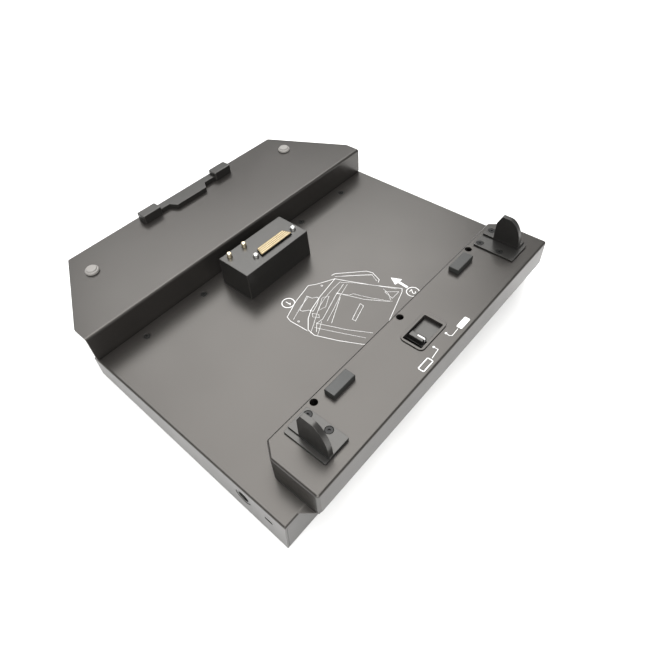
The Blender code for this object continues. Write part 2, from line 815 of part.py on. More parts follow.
def power_pin(label, x, seat):
    """A sprung pin in a blind barrel; pressed, it slides down square to the top plate."""
    barrel_radius = POWER_PIN_RADIUS + 0.0007
    barrel_top = BLOCK_TOP - BLOCK_WALL - GAP
    barrel = add(
        f"power_barrel_{label}",
        cylinder((x, POWER_PIN_Y, 0), barrel_radius, seat, barrel_top, 18),
        "steel",
    )
    bore = cylinder((x, POWER_PIN_Y, 0), POWER_PIN_RADIUS + 0.0002, seat + 0.0012, barrel_top + 0.01, 18)
    cut(barrel, bore)
    top = BLOCK_TOP + POWER_PIN_RISE
    foot = seat + 0.0012 + POWER_PIN_TRAVEL + 0.0018
    profile = [
        (POWER_PIN_RADIUS, foot),
        (POWER_PIN_RADIUS, top - 0.0010),
        (POWER_PIN_RADIUS - 0.0003, top - 0.0004),
        (POWER_PIN_RADIUS - 0.0009, top),
    ]
    pin = turned(profile, (x, POWER_PIN_Y, 0), 18)
    add(f"power_pin_{label}", pin, "gold", origin=(x, POWER_PIN_Y, top))


# ---------------------------------------------------------------- selector


def selector_bezel():
    """Rim round the window, with a collar that reaches down through the platform's sheet."""
    rim_half = (RIM_LENGTH / 2, RIM_WIDTH / 2)
    rim = rounded(centred(RIM_X, WINDOW_Y, *rim_half), 0.0040, 4)
    bezel = add(
        "selector_bezel",
        rounded_prism(rim, PLATFORM_TOP + GAP, PLATFORM_TOP + GAP + RIM_RISE, 0.0003, segments=1),
        "paint",
    )
    collar_half = (WINDOW_LENGTH / 2 + COLLAR_WALL, WINDOW_WIDTH / 2 + COLLAR_WALL)
    collar = rounded(centred(WINDOW_X, WINDOW_Y, *collar_half), 0.0014)
    join(bezel, prism(collar, COLLAR_BOTTOM, PLATFORM_TOP + GAP + RIM_RISE - 0.0002))
    opening = rounded(centred(WINDOW_X, WINDOW_Y, WINDOW_LENGTH / 2, WINDOW_WIDTH / 2), 0.0008, 2)
    cut(bezel, prism(opening, COLLAR_BOTTOM - 0.005, PLATFORM_TOP + 0.01))


def selector_slider():
    """Flat slide with a raised tab at its end; its edge has two notches, one for each position."""
    high = COLLAR_BOTTOM - GAP
    low = high - SLIDER_THICK
    edge = WINDOW_Y + SLIDER_HALF_WIDTH
    slider = add(
        "selector_slider",
        block(SLIDER_X, (WINDOW_Y - SLIDER_HALF_WIDTH, edge), (low, high)),
        "moulding",
        origin=(sum(TAB_X) / 2, WINDOW_Y, high),
    )
    tab = block(TAB_X, TAB_Y, (high - 0.0006, high + TAB_RISE), TAB_BEVEL, above(high + 0.001))
    join(slider, tab)
    cut(slider, block((TAB_X[0] + 0.0015, TAB_X[1] + 0.01), (TAB_Y[1], edge + 0.01), (low - 0.01, high + 0.01)))
    for place in (0, SELECTOR_TRAVEL):
        cut(slider, cylinder((SLIDER_X[0] + 0.004 + place, edge + 0.0008, high), 0.0018, -0.01, 0.01, 16))
    return low


def selector_carrier(slider_low):
    """Channel under the platform that the slide runs in."""
    wall = 0.0014
    inner = SLIDER_HALF_WIDTH + 0.0016
    x = (SLIDER_X[0] - SELECTOR_TRAVEL - 0.0020, SLIDER_X[1] + 0.0008)
    channel = [
        (WINDOW_Y - inner - wall, slider_low - 0.0018),
        (WINDOW_Y + inner + wall, slider_low - 0.0018),
        (WINDOW_Y + inner + wall, COLLAR_BOTTOM - 0.0006),
        (WINDOW_Y + inner, COLLAR_BOTTOM - 0.0006),
        (WINDOW_Y + inner, slider_low - GAP),
        (WINDOW_Y - inner, slider_low - GAP),
        (WINDOW_Y - inner, COLLAR_BOTTOM - 0.0006),
        (WINDOW_Y - inner - wall, COLLAR_BOTTOM - 0.0006),
    ]
    add("selector_carrier", prism(channel, *x, "X"), "moulding")


def detent_spring(slider_low):
    """Leaf beside the slide, its middle bowed towards the notch that it drops into."""
    edge = WINDOW_Y + SLIDER_HALF_WIDTH
    centre = SLIDER_X[0] + 0.004
    near = edge + GAP
    far = edge + 0.0012
    thick = 0.00035
    leaf = [
        (centre - 0.0120, far),
        (centre - 0.0022, far),
        (centre, near + thick),
        (centre + 0.0022, far),
        (centre + 0.0120, far),
        (centre + 0.0120, far - thick),
        (centre + 0.0024, far - thick),
        (centre, near),
        (centre - 0.0024, far - thick),
        (centre - 0.0120, far - thick),
    ]
    add("detent_spring", prism(leaf[::-1], slider_low, COLLAR_BOTTOM - GAP), "steel")


# ---------------------------------------------------------------- electronics and ports


def port_windows():
    """Centre, width, height and lift above the board of each window in the rear wall."""
    return (
        (0.1080, 0.0162, 0.0134, 0.0),
        (0.0830, 0.0146, 0.0158, 0.0),
        (0.0620, 0.0146, 0.0158, 0.0),
        (0.0390, 0.0150, 0.0066, 0.0),
        (0.0090, 0.0250, 0.0112, 0.0),
        (-0.0300, 0.0196, 0.0112, 0.0),
    )


def port_body(name, window, depth, finish):
    x, width, height, lift = window
    body = block(
        (x - width / 2, x + width / 2),
        (PORT_FACE - depth, PORT_FACE),
        (PORT_Z + lift, PORT_Z + lift + height),
    )
    return add(name, body, finish, "level")


def network_socket(window):
    x, _, height, _ = window
    socket = port_body("network_socket", window, 0.0180, "steel")
    y = (PORT_FACE - 0.0125, PORT_FACE + 0.01)
    mouth = block((x - 0.0059, x + 0.0059), y, (PORT_Z + 0.0030, PORT_Z + height - 0.0012))
    keyway = block((x - 0.0020, x + 0.0020), y, (PORT_Z + 0.0012, PORT_Z + 0.0040))
    cut(socket, mouth, keyway, frame="level")


def usb_stack(name, window):
    """Two flat sockets above each other, each with its tongue."""
    x, _, _, _ = window
    stack = port_body(name, window, 0.0170, "steel")
    lows = (PORT_Z + 0.0011, PORT_Z + 0.0092)
    for low in lows:
        mouth = block((x - 0.0063, x + 0.0063), (PORT_FACE - 0.0105, PORT_FACE + 0.01), (low, low + 0.0053))
        cut(stack, mouth, frame="level")
    for low in lows:
        y = (PORT_FACE - 0.0115, PORT_FACE - 0.0010)
        join(stack, block((x - 0.0055, x + 0.0055), y, (low + 0.0027, low + 0.0044)), frame="level")


def display_socket(window):
    x, _, _, _ = window
    socket = port_body("display_socket", window, 0.0120, "steel")
    low = PORT_Z + 0.0010
    mouth = [
        (x - 0.0055, low),
        (x + 0.0055, low),
        (x + 0.0070, low + 0.0016),
        (x + 0.0070, low + 0.0046),
        (x - 0.0070, low + 0.0046),
        (x - 0.0070, low + 0.0016),
    ]
    cut(socket, prism(mouth, PORT_FACE - 0.0090, PORT_FACE + 0.01, "Y"), frame="level")
    y = (PORT_FACE - 0.0100, PORT_FACE - 0.0015)
    tongue = block((x - 0.0048, x + 0.0048), y, (low + 0.0019, low + 0.0029))
    join(socket, tongue, frame="level")


def shell_outline(x, half_length, half_height, middle, taper):
    corners = [
        (x - half_length + taper, middle - half_height),
        (x + half_length - taper, middle - half_height),
        (x + half_length, middle + half_height),
        (x - half_length, middle + half_height),
    ]
    return rounded(corners, 0.0016, 3)


def shell_socket(name, window, half_length, hollow):
    """A screw-down socket with a D-shaped metal shell that stands out under the ledge."""
    x, _, height, _ = window
    middle = PORT_Z + height / 2
    socket = port_body(name, window, 0.0110, "steel")
    shell = shell_outline(x, half_length, 0.0041, middle, 0.0012)
    join(socket, prism(shell, PORT_FACE - 0.001, PORT_FACE + 0.0022, "Y"), frame="level")
    if hollow:
        core = shell_outline(x, half_length - 0.0005, 0.0036, middle, 0.0012)
        cut(socket, prism(core, PORT_FACE - 0.0042, PORT_FACE + 0.01, "Y"), frame="level")


def ports():
    network, usb_upper, usb_lower, display, video, serial = port_windows()
    network_socket(network)
    usb_stack("usb_stack_1", usb_upper)
    usb_stack("usb_stack_2", usb_lower)
    display_socket(display)
    shell_socket("video_socket", video, 0.0120, False)
    shell_socket("serial_socket", serial, 0.0092, True)


def main_board():
    board = rectangle(BOARD_X, (BOARD_Y[0], BOARD_Y[1]))
    add("main_board", prism(board, BOARD_Z, BOARD_Z + BOARD_THICK), "board", "level")


def power_jack():
    """Round inlet with a centre pin, held in the right side wall."""
    front = HALF - 0.0003
    centre = (0, JACK_Y, JACK_Z)
    body = cylinder(centre, JACK_RADIUS, HALF - 0.0130, front, 28, "X")
    jack = add("power_jack", body, "moulding", "level")
    cut(jack, cylinder(centre, 0.0047, HALF - 0.0022, HALF + 0.01, 24, "X"), frame="level")
    cut(jack, cylinder(centre, 0.0032, HALF - 0.0105, HALF + 0.01, 24, "X"), frame="level")
    pin = [(0.0011, HALF - 0.0120), (0.0011, HALF - 0.0030), (0.0006, HALF - 0.0024)]
    join(jack, turned(pin, centre, 12, "X"), frame="level")


def lock_plate():
    """Hardened plate behind the security slot, with the same slot in it."""
    high = HALF - SHEET - GAP
    y = (LOCK_Y - 0.0080, LOCK_Y + 0.0080)
    z = (LOCK_Z - 0.0070, LOCK_Z + 0.0070)
    plate = add("lock_plate", block((high - 0.0020, high), y, z), "steel", "level")
    slot = rounded(
        rectangle(
            (LOCK_Y - LOCK_LENGTH / 2, LOCK_Y + LOCK_LENGTH / 2),
            (LOCK_Z - LOCK_WIDTH / 2, LOCK_Z + LOCK_WIDTH / 2),
        ),
        0.0014,
    )
    cut(plate, prism(slot, high - 0.01, high + 0.01, "X"), frame="level")


def link_ribbon():
    """Flat lead from the connector's board back to the main board, along the underside of the top plate."""
    start = FLOOR_HEIGHT - 0.0062
    end = BOARD_Z + BOARD_THICK + 0.0010
    thick = 0.0008
    run = [
        (0.0260, start + 0.0010),
        (0.0600, start + 0.0020),
        (0.1150, start - 0.0010),
        (0.1240, end),
        (0.1340, end),
    ]
    lower = [(y, z - thick) for y, z in run]
    ribbon = rounded(run + lower[::-1], 0)
    add("link_ribbon", prism(ribbon[::-1], -0.0150, 0.0150, "X"), "ribbon", "level")


# ---------------------------------------------------------------- assembly


def depth_middle():
    """Half way between the shelf's front edge and the platform's rear face, in the level frame."""
    front = SHELF_FRONT * math.cos(TILT) - SHELF_TOP * math.sin(TILT)
    rear = PLATFORM_REAR * math.cos(TILT) - REAR_SKIRT_BOTTOM * math.sin(TILT)
    return (front + rear) / 2


def main():
    base_tray()
    bottom_cover()
    cover_screws()
    front_shelf()
    shelf_screws()
    rear_platform()
    guides()
    pads()
    bumpers()
    front_catch()
    rubber_feet()
    connector_block()
    connector_pieces()
    selector_bezel()
    slider_low = selector_slider()
    selector_carrier(slider_low)
    detent_spring(slider_low)
    main_board()
    ports()
    power_jack()
    lock_plate()
    link_ribbon()


clear_scene()
parts = new_collection(NAME)
cutters = new_collection("cutters")
cutters.hide_render = True
frames["level"] = new_frame("level_frame", (0, -depth_middle(), 0), 0)
frames["slope"] = new_frame("sloping_frame", (0, -depth_middle(), FLOOR_HEIGHT), TILT)
finishes = make_materials()
main()
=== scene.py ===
"""Looks of the docking station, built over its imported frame, in metres, +Z up.

Every piece that shows is made again here with finer bends and with the small detail that the
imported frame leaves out. The user sits on the -Y side. Two frames hold the pieces: the level frame
has its floor on the table, and the sloping frame lies in the wedge's top plate, with its Y axis
running up the slope from the foot of the front riser and its Z axis square to the plate.
"""

import json
import math

import bmesh
import bpy
from mathutils import Matrix, Vector

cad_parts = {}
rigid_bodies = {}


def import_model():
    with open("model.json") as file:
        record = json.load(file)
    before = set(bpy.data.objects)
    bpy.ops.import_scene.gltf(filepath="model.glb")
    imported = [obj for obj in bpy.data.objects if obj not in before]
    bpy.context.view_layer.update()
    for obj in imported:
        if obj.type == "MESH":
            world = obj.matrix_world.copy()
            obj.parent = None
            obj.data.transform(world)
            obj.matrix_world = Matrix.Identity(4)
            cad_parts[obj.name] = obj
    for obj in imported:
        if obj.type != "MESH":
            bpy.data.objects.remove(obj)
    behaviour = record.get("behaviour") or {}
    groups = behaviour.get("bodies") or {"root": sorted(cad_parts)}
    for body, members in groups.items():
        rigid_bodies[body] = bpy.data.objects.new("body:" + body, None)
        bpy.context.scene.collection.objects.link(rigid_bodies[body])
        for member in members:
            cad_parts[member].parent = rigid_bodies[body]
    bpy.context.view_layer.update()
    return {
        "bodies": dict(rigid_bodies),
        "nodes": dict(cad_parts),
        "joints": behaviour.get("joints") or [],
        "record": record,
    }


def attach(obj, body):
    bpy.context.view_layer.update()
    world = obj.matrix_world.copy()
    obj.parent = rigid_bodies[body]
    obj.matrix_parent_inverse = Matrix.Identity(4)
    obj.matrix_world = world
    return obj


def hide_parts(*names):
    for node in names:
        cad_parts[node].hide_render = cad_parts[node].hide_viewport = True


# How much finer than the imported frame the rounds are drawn, and which edges stay sharp
DETAIL = 3
FOLD_SEGMENTS = 9
WELD = 1e-6
RIM_ANGLE = 0.5
SHARP_ANGLE = math.radians(28)

# How far a cutting shape runs past the face that it opens
REACH = 0.01
SHORT_REACH = 0.006

SIDES = ((1, "right"), (-1, "left"))

# Sheet metal and clearances
SHEET = 0.0015
GAP = 0.0003
BEND = 0.0016
SEAM = 0.0003

# Wedge base
WIDTH = 0.330
HALF = WIDTH / 2
TILT = math.radians(4.6)
FOOT_HEIGHT = 0.0017
BASE_BOTTOM = 0.0020
FLOOR_HEIGHT = 0.0246
BASE_FRONT = -0.0048
BASE_REAR = 0.2063
FLOOR_START = 0.0008

# Front shelf, in the sloping frame
SHELF_FRONT = -0.0941
SHELF_TOP = 0.0254
SHELF_HALF_FRONT = 0.1236
SHELF_CORNER = -0.0162
SHELF_FLANGE = 0.0220

# Rear platform, in the sloping frame
PLATFORM_HALF = 0.1450
PLATFORM_FRONT = 0.1675
PLATFORM_REAR = 0.2184
PLATFORM_TOP = 0.0257
PLATFORM_CHAMFER_X = 0.0080
PLATFORM_CHAMFER_Y = 0.0110
REAR_SKIRT_BOTTOM = 0.0030
LEDGE_FRONT = 0.2000
LEDGE_SHOULDER = 0.2060
LEDGE_REAR = 0.2166
LEDGE_HALF = 0.1440
LEDGE_FLARE = 0.0090
VENT_X = 0.0970
VENT_Y = 0.1722
VENT_RADIUS = 0.0029

# Half the clear width between the side walls
INNER_HALF = HALF - SHEET - GAP

# Countersunk screws
SCREW_HEAD = 0.0027
SCREW_SHANK = 0.0014
SCREW_CONE = 0.0013
SCREW_SINK = 0.0001
SCREW_RIM = 0.0002
SCREW_CLEAR = GAP + 0.0001
SCREW_SOCKET = 0.0011
SCREW_SOCKET_DEPTH = 0.0009
SHELF_SCREWS = ((0.1244, 0.0102), (0.0635, 0.0102), (-0.0620, 0.0102), (-0.1225, 0.0102))

# Docking connector block, in the sloping frame
BLOCK_X = (-0.0322, 0.0415)
BLOCK_Y = (0.0132, 0.0484)
BLOCK_TOP = 0.0269
BLOCK_WALL = 0.0020
BLOCK_DRAFT = 0.0007
PLUG_X = -0.0020
PLUG_Y = 0.0362
PLUG_LENGTH = 0.0374
PLUG_WIDTH = 0.0092
PLUG_TAPER = 0.0032
PLUG_RISE = 0.0019
POST_X = (0.0198, -0.0258)
POST_Y = 0.0368
POST_RADIUS = 0.0024
POST_RISE = 0.0032
POWER_PIN_X = (0.0339, 0.0170)
POWER_PIN_Y = 0.0190
POWER_PIN_RADIUS = 0.0022
POWER_PIN_RISE = 0.0046
POWER_PIN_TRAVEL = 0.0025

# Selector, in the sloping frame
WINDOW_X = 0.0016
WINDOW_Y = 0.1940
WINDOW_LENGTH = 0.0286
WINDOW_WIDTH = 0.0162
RIM_X = 0.0006
RIM_LENGTH = 0.0344
RIM_WIDTH = 0.0204
RIM_RISE = 0.0007
COLLAR_WALL = 0.0011
COLLAR_BOTTOM = 0.0236
SLIDER_THICK = 0.0018
SLIDER_X = (-0.0210, 0.0095)
SLIDER_HALF_WIDTH = 0.0076
TAB_X = (0.0042, 0.0095)
TAB_Y = (0.1866, 0.1989)
TAB_RISE = 0.0023
TAB_BEVEL = 0.0009
SELECTOR_TRAVEL = 0.0163

# Guides, in the sloping frame
GUIDE_PLATE = 0.0012
GUIDE_Y = (0.1725, 0.2083)
FIN_THICK = 0.0040
FIN_SET_BACK = 0.0098
FIN_STEPS = 7
# Where a fin's flat top starts and ends, as shares of its length, and the powers of its rear curve
FIN_TOP = (0.17, 0.48)
FIN_CURVE = (1.12, 0.92)
FIN_UPRIGHT = 0.0078
RIGHT_PLATE_X = (0.1037, 0.1265)
RIGHT_FOOT_X = (0.1037, 0.1225)
LEFT_PLATE_X = (-0.1300, -0.1040)
LEFT_FOOT_X = (-0.1300, -0.1190)
# Each fin's rise above the platform, its length, and the outer corner radius of its plate
RIGHT_FIN = (0.0286, 0.0256, 0.0008)
LEFT_FIN = (0.0262, 0.0224, 0.0030)
RIGHT_SCREWS = ((0.1076, 0.1768), (0.1076, 0.1951))
LEFT_INNER_SCREWS = ((-0.1082, 0.1764), (-0.1082, 0.1943))
LEFT_OUTER_SCREWS = ((-0.1264, 0.1768), (-0.1264, 0.1951))

# Rubber
PAD_X = 0.0761
PAD_Y = 0.1775
PAD_SIZE = (0.0222, 0.0088, 0.0046)
PAD_BEVEL = 0.0006
BUMPER_X = 0.1180
BUMPER_Y = -0.0636
BUMPER_RADIUS = 0.0060
# How far in from the rim and how far up each ring of a bumper is
BUMPER_PROFILE = (
    (0, 0), (0, 0.0014), (0.0005, 0.0022), (0.0013, 0.0023), (0.0016, 0.0033), (0.0026, 0.0038),
)
FOOT_RADIUS = 0.0080
FOOT_X = 0.1400
FOOT_Y = (0.0180, 0.1880)

# Front catch, in the sloping frame
CATCH_X = -0.0030
CATCH_Y = (-0.0895, -0.0810)
CATCH_HALF = 0.0535
CATCH_BLOCK = 0.0200
CATCH_BLOCK_REAR = -0.0790
CATCH_BLOCK_RISE = 0.0085
CATCH_BAR_RISE = 0.0046
CATCH_TAB_REAR = -0.0735
CATCH_TONGUE_OFFSET = 0.0015

# Side wall fittings, in the level frame
JACK_Y = 0.1666
JACK_Z = 0.0244
JACK_RADIUS = 0.0068
JACK_DEPTH = 0.0130
JACK_BORES = ((0.0047, 0.0022), (0.0032, 0.0105))
JACK_PIN = 0.0011
LOCK_Y = 0.1905
LOCK_Z = 0.0250
LOCK_LENGTH = 0.0072
LOCK_WIDTH = 0.0033

# Circuit boards, in the level frame
BOARD_THICK = 0.0016
BOARD_Z = 0.0080
BOARD_X = (-0.0700, 0.1300)
BOARD_Y = (0.1150, 0.2040)
PORT_Z = BOARD_Z + BOARD_THICK + GAP
PORT_FACE = BASE_REAR - 0.0002
COVER_SCREWS = ((0.1500, 0.0080), (-0.1500, 0.0080), (0.1500, 0.1950), (-0.1500, 0.1950))

# Rear sockets, in the level frame: the middle, width and height of each one's face
PORTS = {
    "network_socket": (0.1080, 0.0162, 0.0134),
    "usb_stack_1": (0.0830, 0.0146, 0.0158),
    "usb_stack_2": (0.0620, 0.0146, 0.0158),
    "display_socket": (0.0390, 0.0150, 0.0066),
    "video_socket": (0.0090, 0.0250, 0.0112),
    "serial_socket": (-0.0300, 0.0196, 0.0112),
}
USB_LOWS = (PORT_Z + 0.0011, PORT_Z + 0.0092)
SHELL_MIDDLE = PORT_Z + PORTS["video_socket"][2] / 2
SHELL_HALF_HEIGHT = 0.0041
SHELL_WALL = 0.0005
SHELL_TAPER = 0.0012
JACK_POST = 0.0020

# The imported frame's own nodes that stay, all inside the station, and their finishes
HIDDEN = {
    "main_board": "board",
    "connector_board": "board",
    "link_ribbon": "ribbon",
    "lock_plate": "steel",
    "detent_spring": "steel",
    "selector_carrier": "moulding",
    "power_barrel_right": "steel",
    "power_barrel_left": "steel",
}

# Printed marks, in the sloping frame. The drawing's own points are in tenths of a millimetre
TENTH = 0.0001
INK_LIFT = 0.00004
LINE = 0.00042
FINE_LINE = 0.00028
FAINT_LINE = 0.00022
RING_LINE = LINE * 1.7
NUMERAL_LINE = LINE * 1.6
FRAME_LINE = LINE * 1.8
STATION_OUTLINE = (
    (384, 1100), (393, 919), (378, 868), (203, 802), (-3, 757), (-63, 804), (-211, 885),
)
NOTEBOOK_OUTLINE = (
    (-211, 885), (-238, 950), (-351, 1197), (-472, 1418), (-440, 1441), (-106, 1553), (150, 1638),
    (220, 1532), (308, 1361), (384, 1175), (372, 1098), (284, 1018), (198, 971), (40, 928),
)
NOTEBOOK_EDGE = ((-206, 988), (-65, 1021), (209, 1114), (276, 1106), (347, 1166))
NOTEBOOK_SIDES = (
    ((-85, 1005), (-173, 1243), (-286, 1430)),
    ((278, 1104), (178, 1343), (76, 1527)),
    ((-68, 1067), (201, 1201)),
)
NOTEBOOK_SLOT = ((-113, 1248), (-111, 1286), (63, 1339), (64, 1306))
LID_OUTLINE = ((-225, 835), (-260, 843), (-456, 1043), (-473, 1102), (-438, 1200), (-407, 1213))
LID_LINE = ((-232, 867), (-453, 1117))
CATCH_MARK = (
    (99, 832), (89, 886), (55, 909), (53, 933), (121, 969), (196, 994), (209, 957), (252, 922),
    (256, 897), (182, 870),
)
CORNER_MARK = ((-350, 1325), (-328, 1422), (-424, 1419))
NOTEBOOK_LINES = (
    ((-214, 947), (-103, 952), (15, 970), (128, 1001), (222, 1050), (300, 1094), (390, 1139)),
    ((-206, 954), (-285, 1066), (-368, 1229), (-439, 1384)),
    ((-225, 1016), (-85, 1055), (74, 1113), (208, 1158)),
    ((-79, 1011), (-135, 1111), (-168, 1130), (-185, 1184), (-225, 1289), (-300, 1445)),
    ((-370, 1296), (-352, 1363), (-299, 1427)),
    ((320, 1121), (305, 1164), (253, 1286), (198, 1409), (150, 1516)),
    ((236, 1123), (305, 1164), (367, 1196)),
    ((366, 928), (230, 879), (91, 847)),
    ((-246, 883), (-361, 1004), (-450, 1109), (-413, 1194)),
    ((218, 1005), (193, 1054), (217, 1081), (246, 1035), (218, 1005)),
    ((32, 949), (-16, 985), (94, 1044), (158, 1023), (32, 949)),
)
SMALL_RINGS = ((-76, 851), (354, 976))
STEP_ONE = (256, 763)
STEP_TWO = (-496, 1513)
NUMERAL_ONE = ((-10, 13), (2, 25), (2, -25))
NUMERAL_TWO = ((-15, 13), (-8, 23), (6, 24), (14, 15), (11, 4), (-15, -24), (17, -24))
ARROW = (
    (-523, 1447), (-499, 1447), (-506, 1350), (-473, 1344), (-521, 1263), (-564, 1352),
    (-531, 1352),
)

STEP_RADIUS = 0.0054
SMALL_RING_RADIUS = 0.0008
DOT_RADIUS = 0.0009
FIRST_DOT = (0.0085, 0.2079)
FIRST_LEADER = ((0.0085, 0.2079), (0.0084, 0.2116), (0.0176, 0.2126))
FIRST_MARK = ((0.0192, 0.0310), (0.2100, 0.2146))
SECOND_DOT = (-0.0078, 0.2077)
SECOND_LEADER = ((-0.0079, 0.2076), (-0.0072, 0.2110), (-0.0088, 0.2124), (-0.0167, 0.2121))
SECOND_MARK = ((-0.0302, -0.0180), (0.2098, 0.2144))
POINTER_X = 0.0061
POINTER_HALF = 0.0006
POINTER_START = 0.1926
POINTER_DROP = 0.0026
POINTER_STEPS = 8

# Contacts
CONTACT_PITCH = 0.00127
CONTACT_WIDTH = 0.00080
CONTACT_LENGTH = 0.00135
CONTACT_ROW = 0.00205

# Table, camera and lights
TABLE_HALF = 4.0
CAMERA_PLACE = (0.23096, 0.23430, 0.38073)
CAMERA_AZIMUTH = math.radians(130.88)
CAMERA_ELEVATION = math.radians(50.93)
CAMERA_ROLL = math.radians(0.22)
CAMERA_LENS = 30.04
CAMERA_SHIFT = -0.0132
SKY_COLOUR = (1.0, 0.995, 0.985, 1)
SKY_STRENGTH = 0.38
# Each softbox's place, size and power
SOFTBOXES = {
    "key": ((-0.92, -1.28, 2.40), 2.5, 88),
    "fill": ((1.5, 1.5, 2.0), 2.4, 102),
    "top": ((0.1, 0.1, 2.6), 1.6, 26),
}

# Each finish's name, darkest and lightest colour, roughness range, grain scale and grain relief
LOOKS = {
    "paint": (
        "charcoal_paint",
        (0.012, 0.0111, 0.0103),
        (0.017, 0.0157, 0.0147),
        (0.28, 0.34),
        2200,
        3e-5,
    ),
    "moulding": (
        "black_moulding", (0.008, 0.0078, 0.0074), (0.012, 0.0116, 0.011), (0.30, 0.37), 2600, 3e-5,
    ),
    "rubber": (
        "dark_rubber", (0.018, 0.019, 0.0175), (0.026, 0.027, 0.025), (0.42, 0.52), 1800, 4e-5,
    ),
    "bumper": ("grey_rubber", (0.20, 0.19, 0.18), (0.25, 0.24, 0.225), (0.45, 0.60), 1500, 3e-5),
    "gold": ("gold_plate", (0.84, 0.73, 0.52), (0.93, 0.83, 0.64), (0.32, 0.46), 3000, 1e-5),
    "contact": ("contact_gold", (0.50, 0.42, 0.27), (0.62, 0.53, 0.36), (0.28, 0.42), 3000, 1e-5),
    "field": ("contact_ground", (0.16, 0.125, 0.07), (0.24, 0.19, 0.11), (0.40, 0.55), 2600, 2e-5),
    "steel": ("bright_steel", (0.84, 0.84, 0.82), (0.92, 0.92, 0.90), (0.34, 0.46), 3000, 1e-5),
    # Partly the screws' own black, partly painted shade: darkened overall to stand for the shaded
    # gap round each head
    "screw": (
        "black_screw", (0.005, 0.005, 0.005), (0.009, 0.009, 0.008), (0.34, 0.48), 3000, 2e-5,
    ),
    "board": ("green_board", (0.012, 0.10, 0.045), (0.02, 0.15, 0.07), (0.35, 0.5), 900, 2e-5),
    "ribbon": ("grey_ribbon", (0.28, 0.28, 0.29), (0.38, 0.38, 0.39), (0.45, 0.6), 700, 2e-5),
    "ink": ("white_ink", (0.74, 0.74, 0.73), (0.86, 0.86, 0.85), (0.5, 0.65), 2600, 1e-5),
    # Painted shade: dark discs that stand for the shade inside the video socket's holes
    "dark": ("painted_hole_shade", (0.004, 0.004, 0.004), (0.008, 0.008, 0.008), (0.6, 0.75), 1800, 1e-5),
    "table": ("pale_table", (0.86, 0.86, 0.855), (0.90, 0.90, 0.895), (0.7, 0.85), 300, 1e-5),
}
# What sets a finish apart from a plain plastic one
TRAITS = {
    "paint": {"ior": 1.65, "sheen": (1, 0.95, 0.89)},
    "moulding": {"ior": 1.65, "sheen": (1, 0.98, 0.94)},
    "rubber": {"ior": 1.55},
    "gold": {"metallic": 1.0, "edge": 0.0001},
    "contact": {"metallic": 1.0, "edge": 0},
    "field": {"metallic": 1.0, "edge": 0},
    "steel": {"metallic": 1.0, "edge": 0.0001},
    "screw": {"ior": 1.35, "edge": 0.0001},
    "board": {"edge": 0},
    "ribbon": {"edge": 0},
    "ink": {"edge": 0},
    "dark": {"edge": 0},
    "table": {"cloud": 3, "edge": 0},
}

built = []
cutters = None
frames = {}
finishes = {}

# ---------------- finishes


def new_node(nodes, kind, values):
    made = nodes.new(f"ShaderNode{kind}")
    for socket, value in values.items():
        made.inputs[socket].default_value = value
    return made


def finish(
    name, dark, light, roughness, grain, relief,
    metallic=0.0, ior=1.5, cloud=14.0, edge=0.0004, sheen=(1, 1, 1),
):
    """A finish whose colour and roughness drift softly, with a fine grain and softened edges."""
    made = bpy.data.materials.new(name)
    made.use_nodes = True
    nodes = made.node_tree.nodes
    link = made.node_tree.links.new
    shader = nodes["Principled BSDF"]
    shader.inputs["Metallic"].default_value = metallic
    shader.inputs["IOR"].default_value = ior
    shader.inputs["Specular Tint"].default_value = (*sheen, 1)
    place = nodes.new("ShaderNodeTexCoord")
    drift = new_node(nodes, "TexNoise", {"Scale": cloud, "Detail": 4})
    link(place.outputs["Object"], drift.inputs["Vector"])
    shade = nodes.new("ShaderNodeMix")
    shade.data_type = "RGBA"
    shade.inputs["A"].default_value = (*dark, 1)
    shade.inputs["B"].default_value = (*light, 1)
    link(drift.outputs["Fac"], shade.inputs["Factor"])
    link(shade.outputs["Result"], shader.inputs["Base Color"])
    ends = {"From Min": 0.3, "From Max": 0.7, "To Min": roughness[0], "To Max": roughness[1]}
    spread = new_node(nodes, "MapRange", ends)
    link(drift.outputs["Fac"], spread.inputs["Value"])
    link(spread.outputs["Result"], shader.inputs["Roughness"])
    speck = new_node(nodes, "TexNoise", {"Scale": grain, "Detail": 2})
    link(place.outputs["Object"], speck.inputs["Vector"])
    bump = new_node(nodes, "Bump", {"Strength": 0.5, "Distance": relief})
    link(speck.outputs["Fac"], bump.inputs["Height"])
    if edge:
        corner = new_node(nodes, "Bevel", {"Radius": edge})
        corner.samples = 4
        link(corner.outputs["Normal"], bump.inputs["Normal"])
    link(bump.outputs["Normal"], shader.inputs["Normal"])
    return made


def make_finishes():
    return {look: finish(*values, **TRAITS.get(look, {})) for look, values in LOOKS.items()}


# ---------------- shapes


def rounded(corners, radii, steps=3):
    """The outline through these corners, each one cut back to an arc of its radius."""
    count = len(corners)
    if not isinstance(radii, (list, tuple)):
        radii = [radii] * count
    outline = []
    steps *= DETAIL
    for index, radius in enumerate(radii):
        corner = Vector(corners[index])
        before = (Vector(corners[index - 1]) - corner).normalized()
        after = (Vector(corners[(index + 1) % count]) - corner).normalized()
        if radius <= 0:
            outline.append(tuple(corner))
            continue
        half = before.angle(after) / 2
        middle = corner + (before + after).normalized() * radius / math.sin(half)
        start = corner + before * radius / math.tan(half) - middle
        end = corner + after * radius / math.tan(half) - middle
        for step in range(steps + 1):
            spoke = start.lerp(end, step / steps).normalized() * radius
            outline.append(tuple(middle + spoke))
    return outline


def around(middle, half):
    """The two coordinates either side of a middle."""
    return (middle - half, middle + half)


def spread_out(count, pitch, middle=0):
    """Evenly spaced coordinates, as many on each side of a middle."""
    return [middle + (index - (count - 1) / 2) * pitch for index in range(count)]


def rectangle(x, y):
    return [(x[0], y[0]), (x[1], y[0]), (x[1], y[1]), (x[0], y[1])]


def centred(x, y, half_x, half_y):
    return rectangle(around(x, half_x), around(y, half_y))


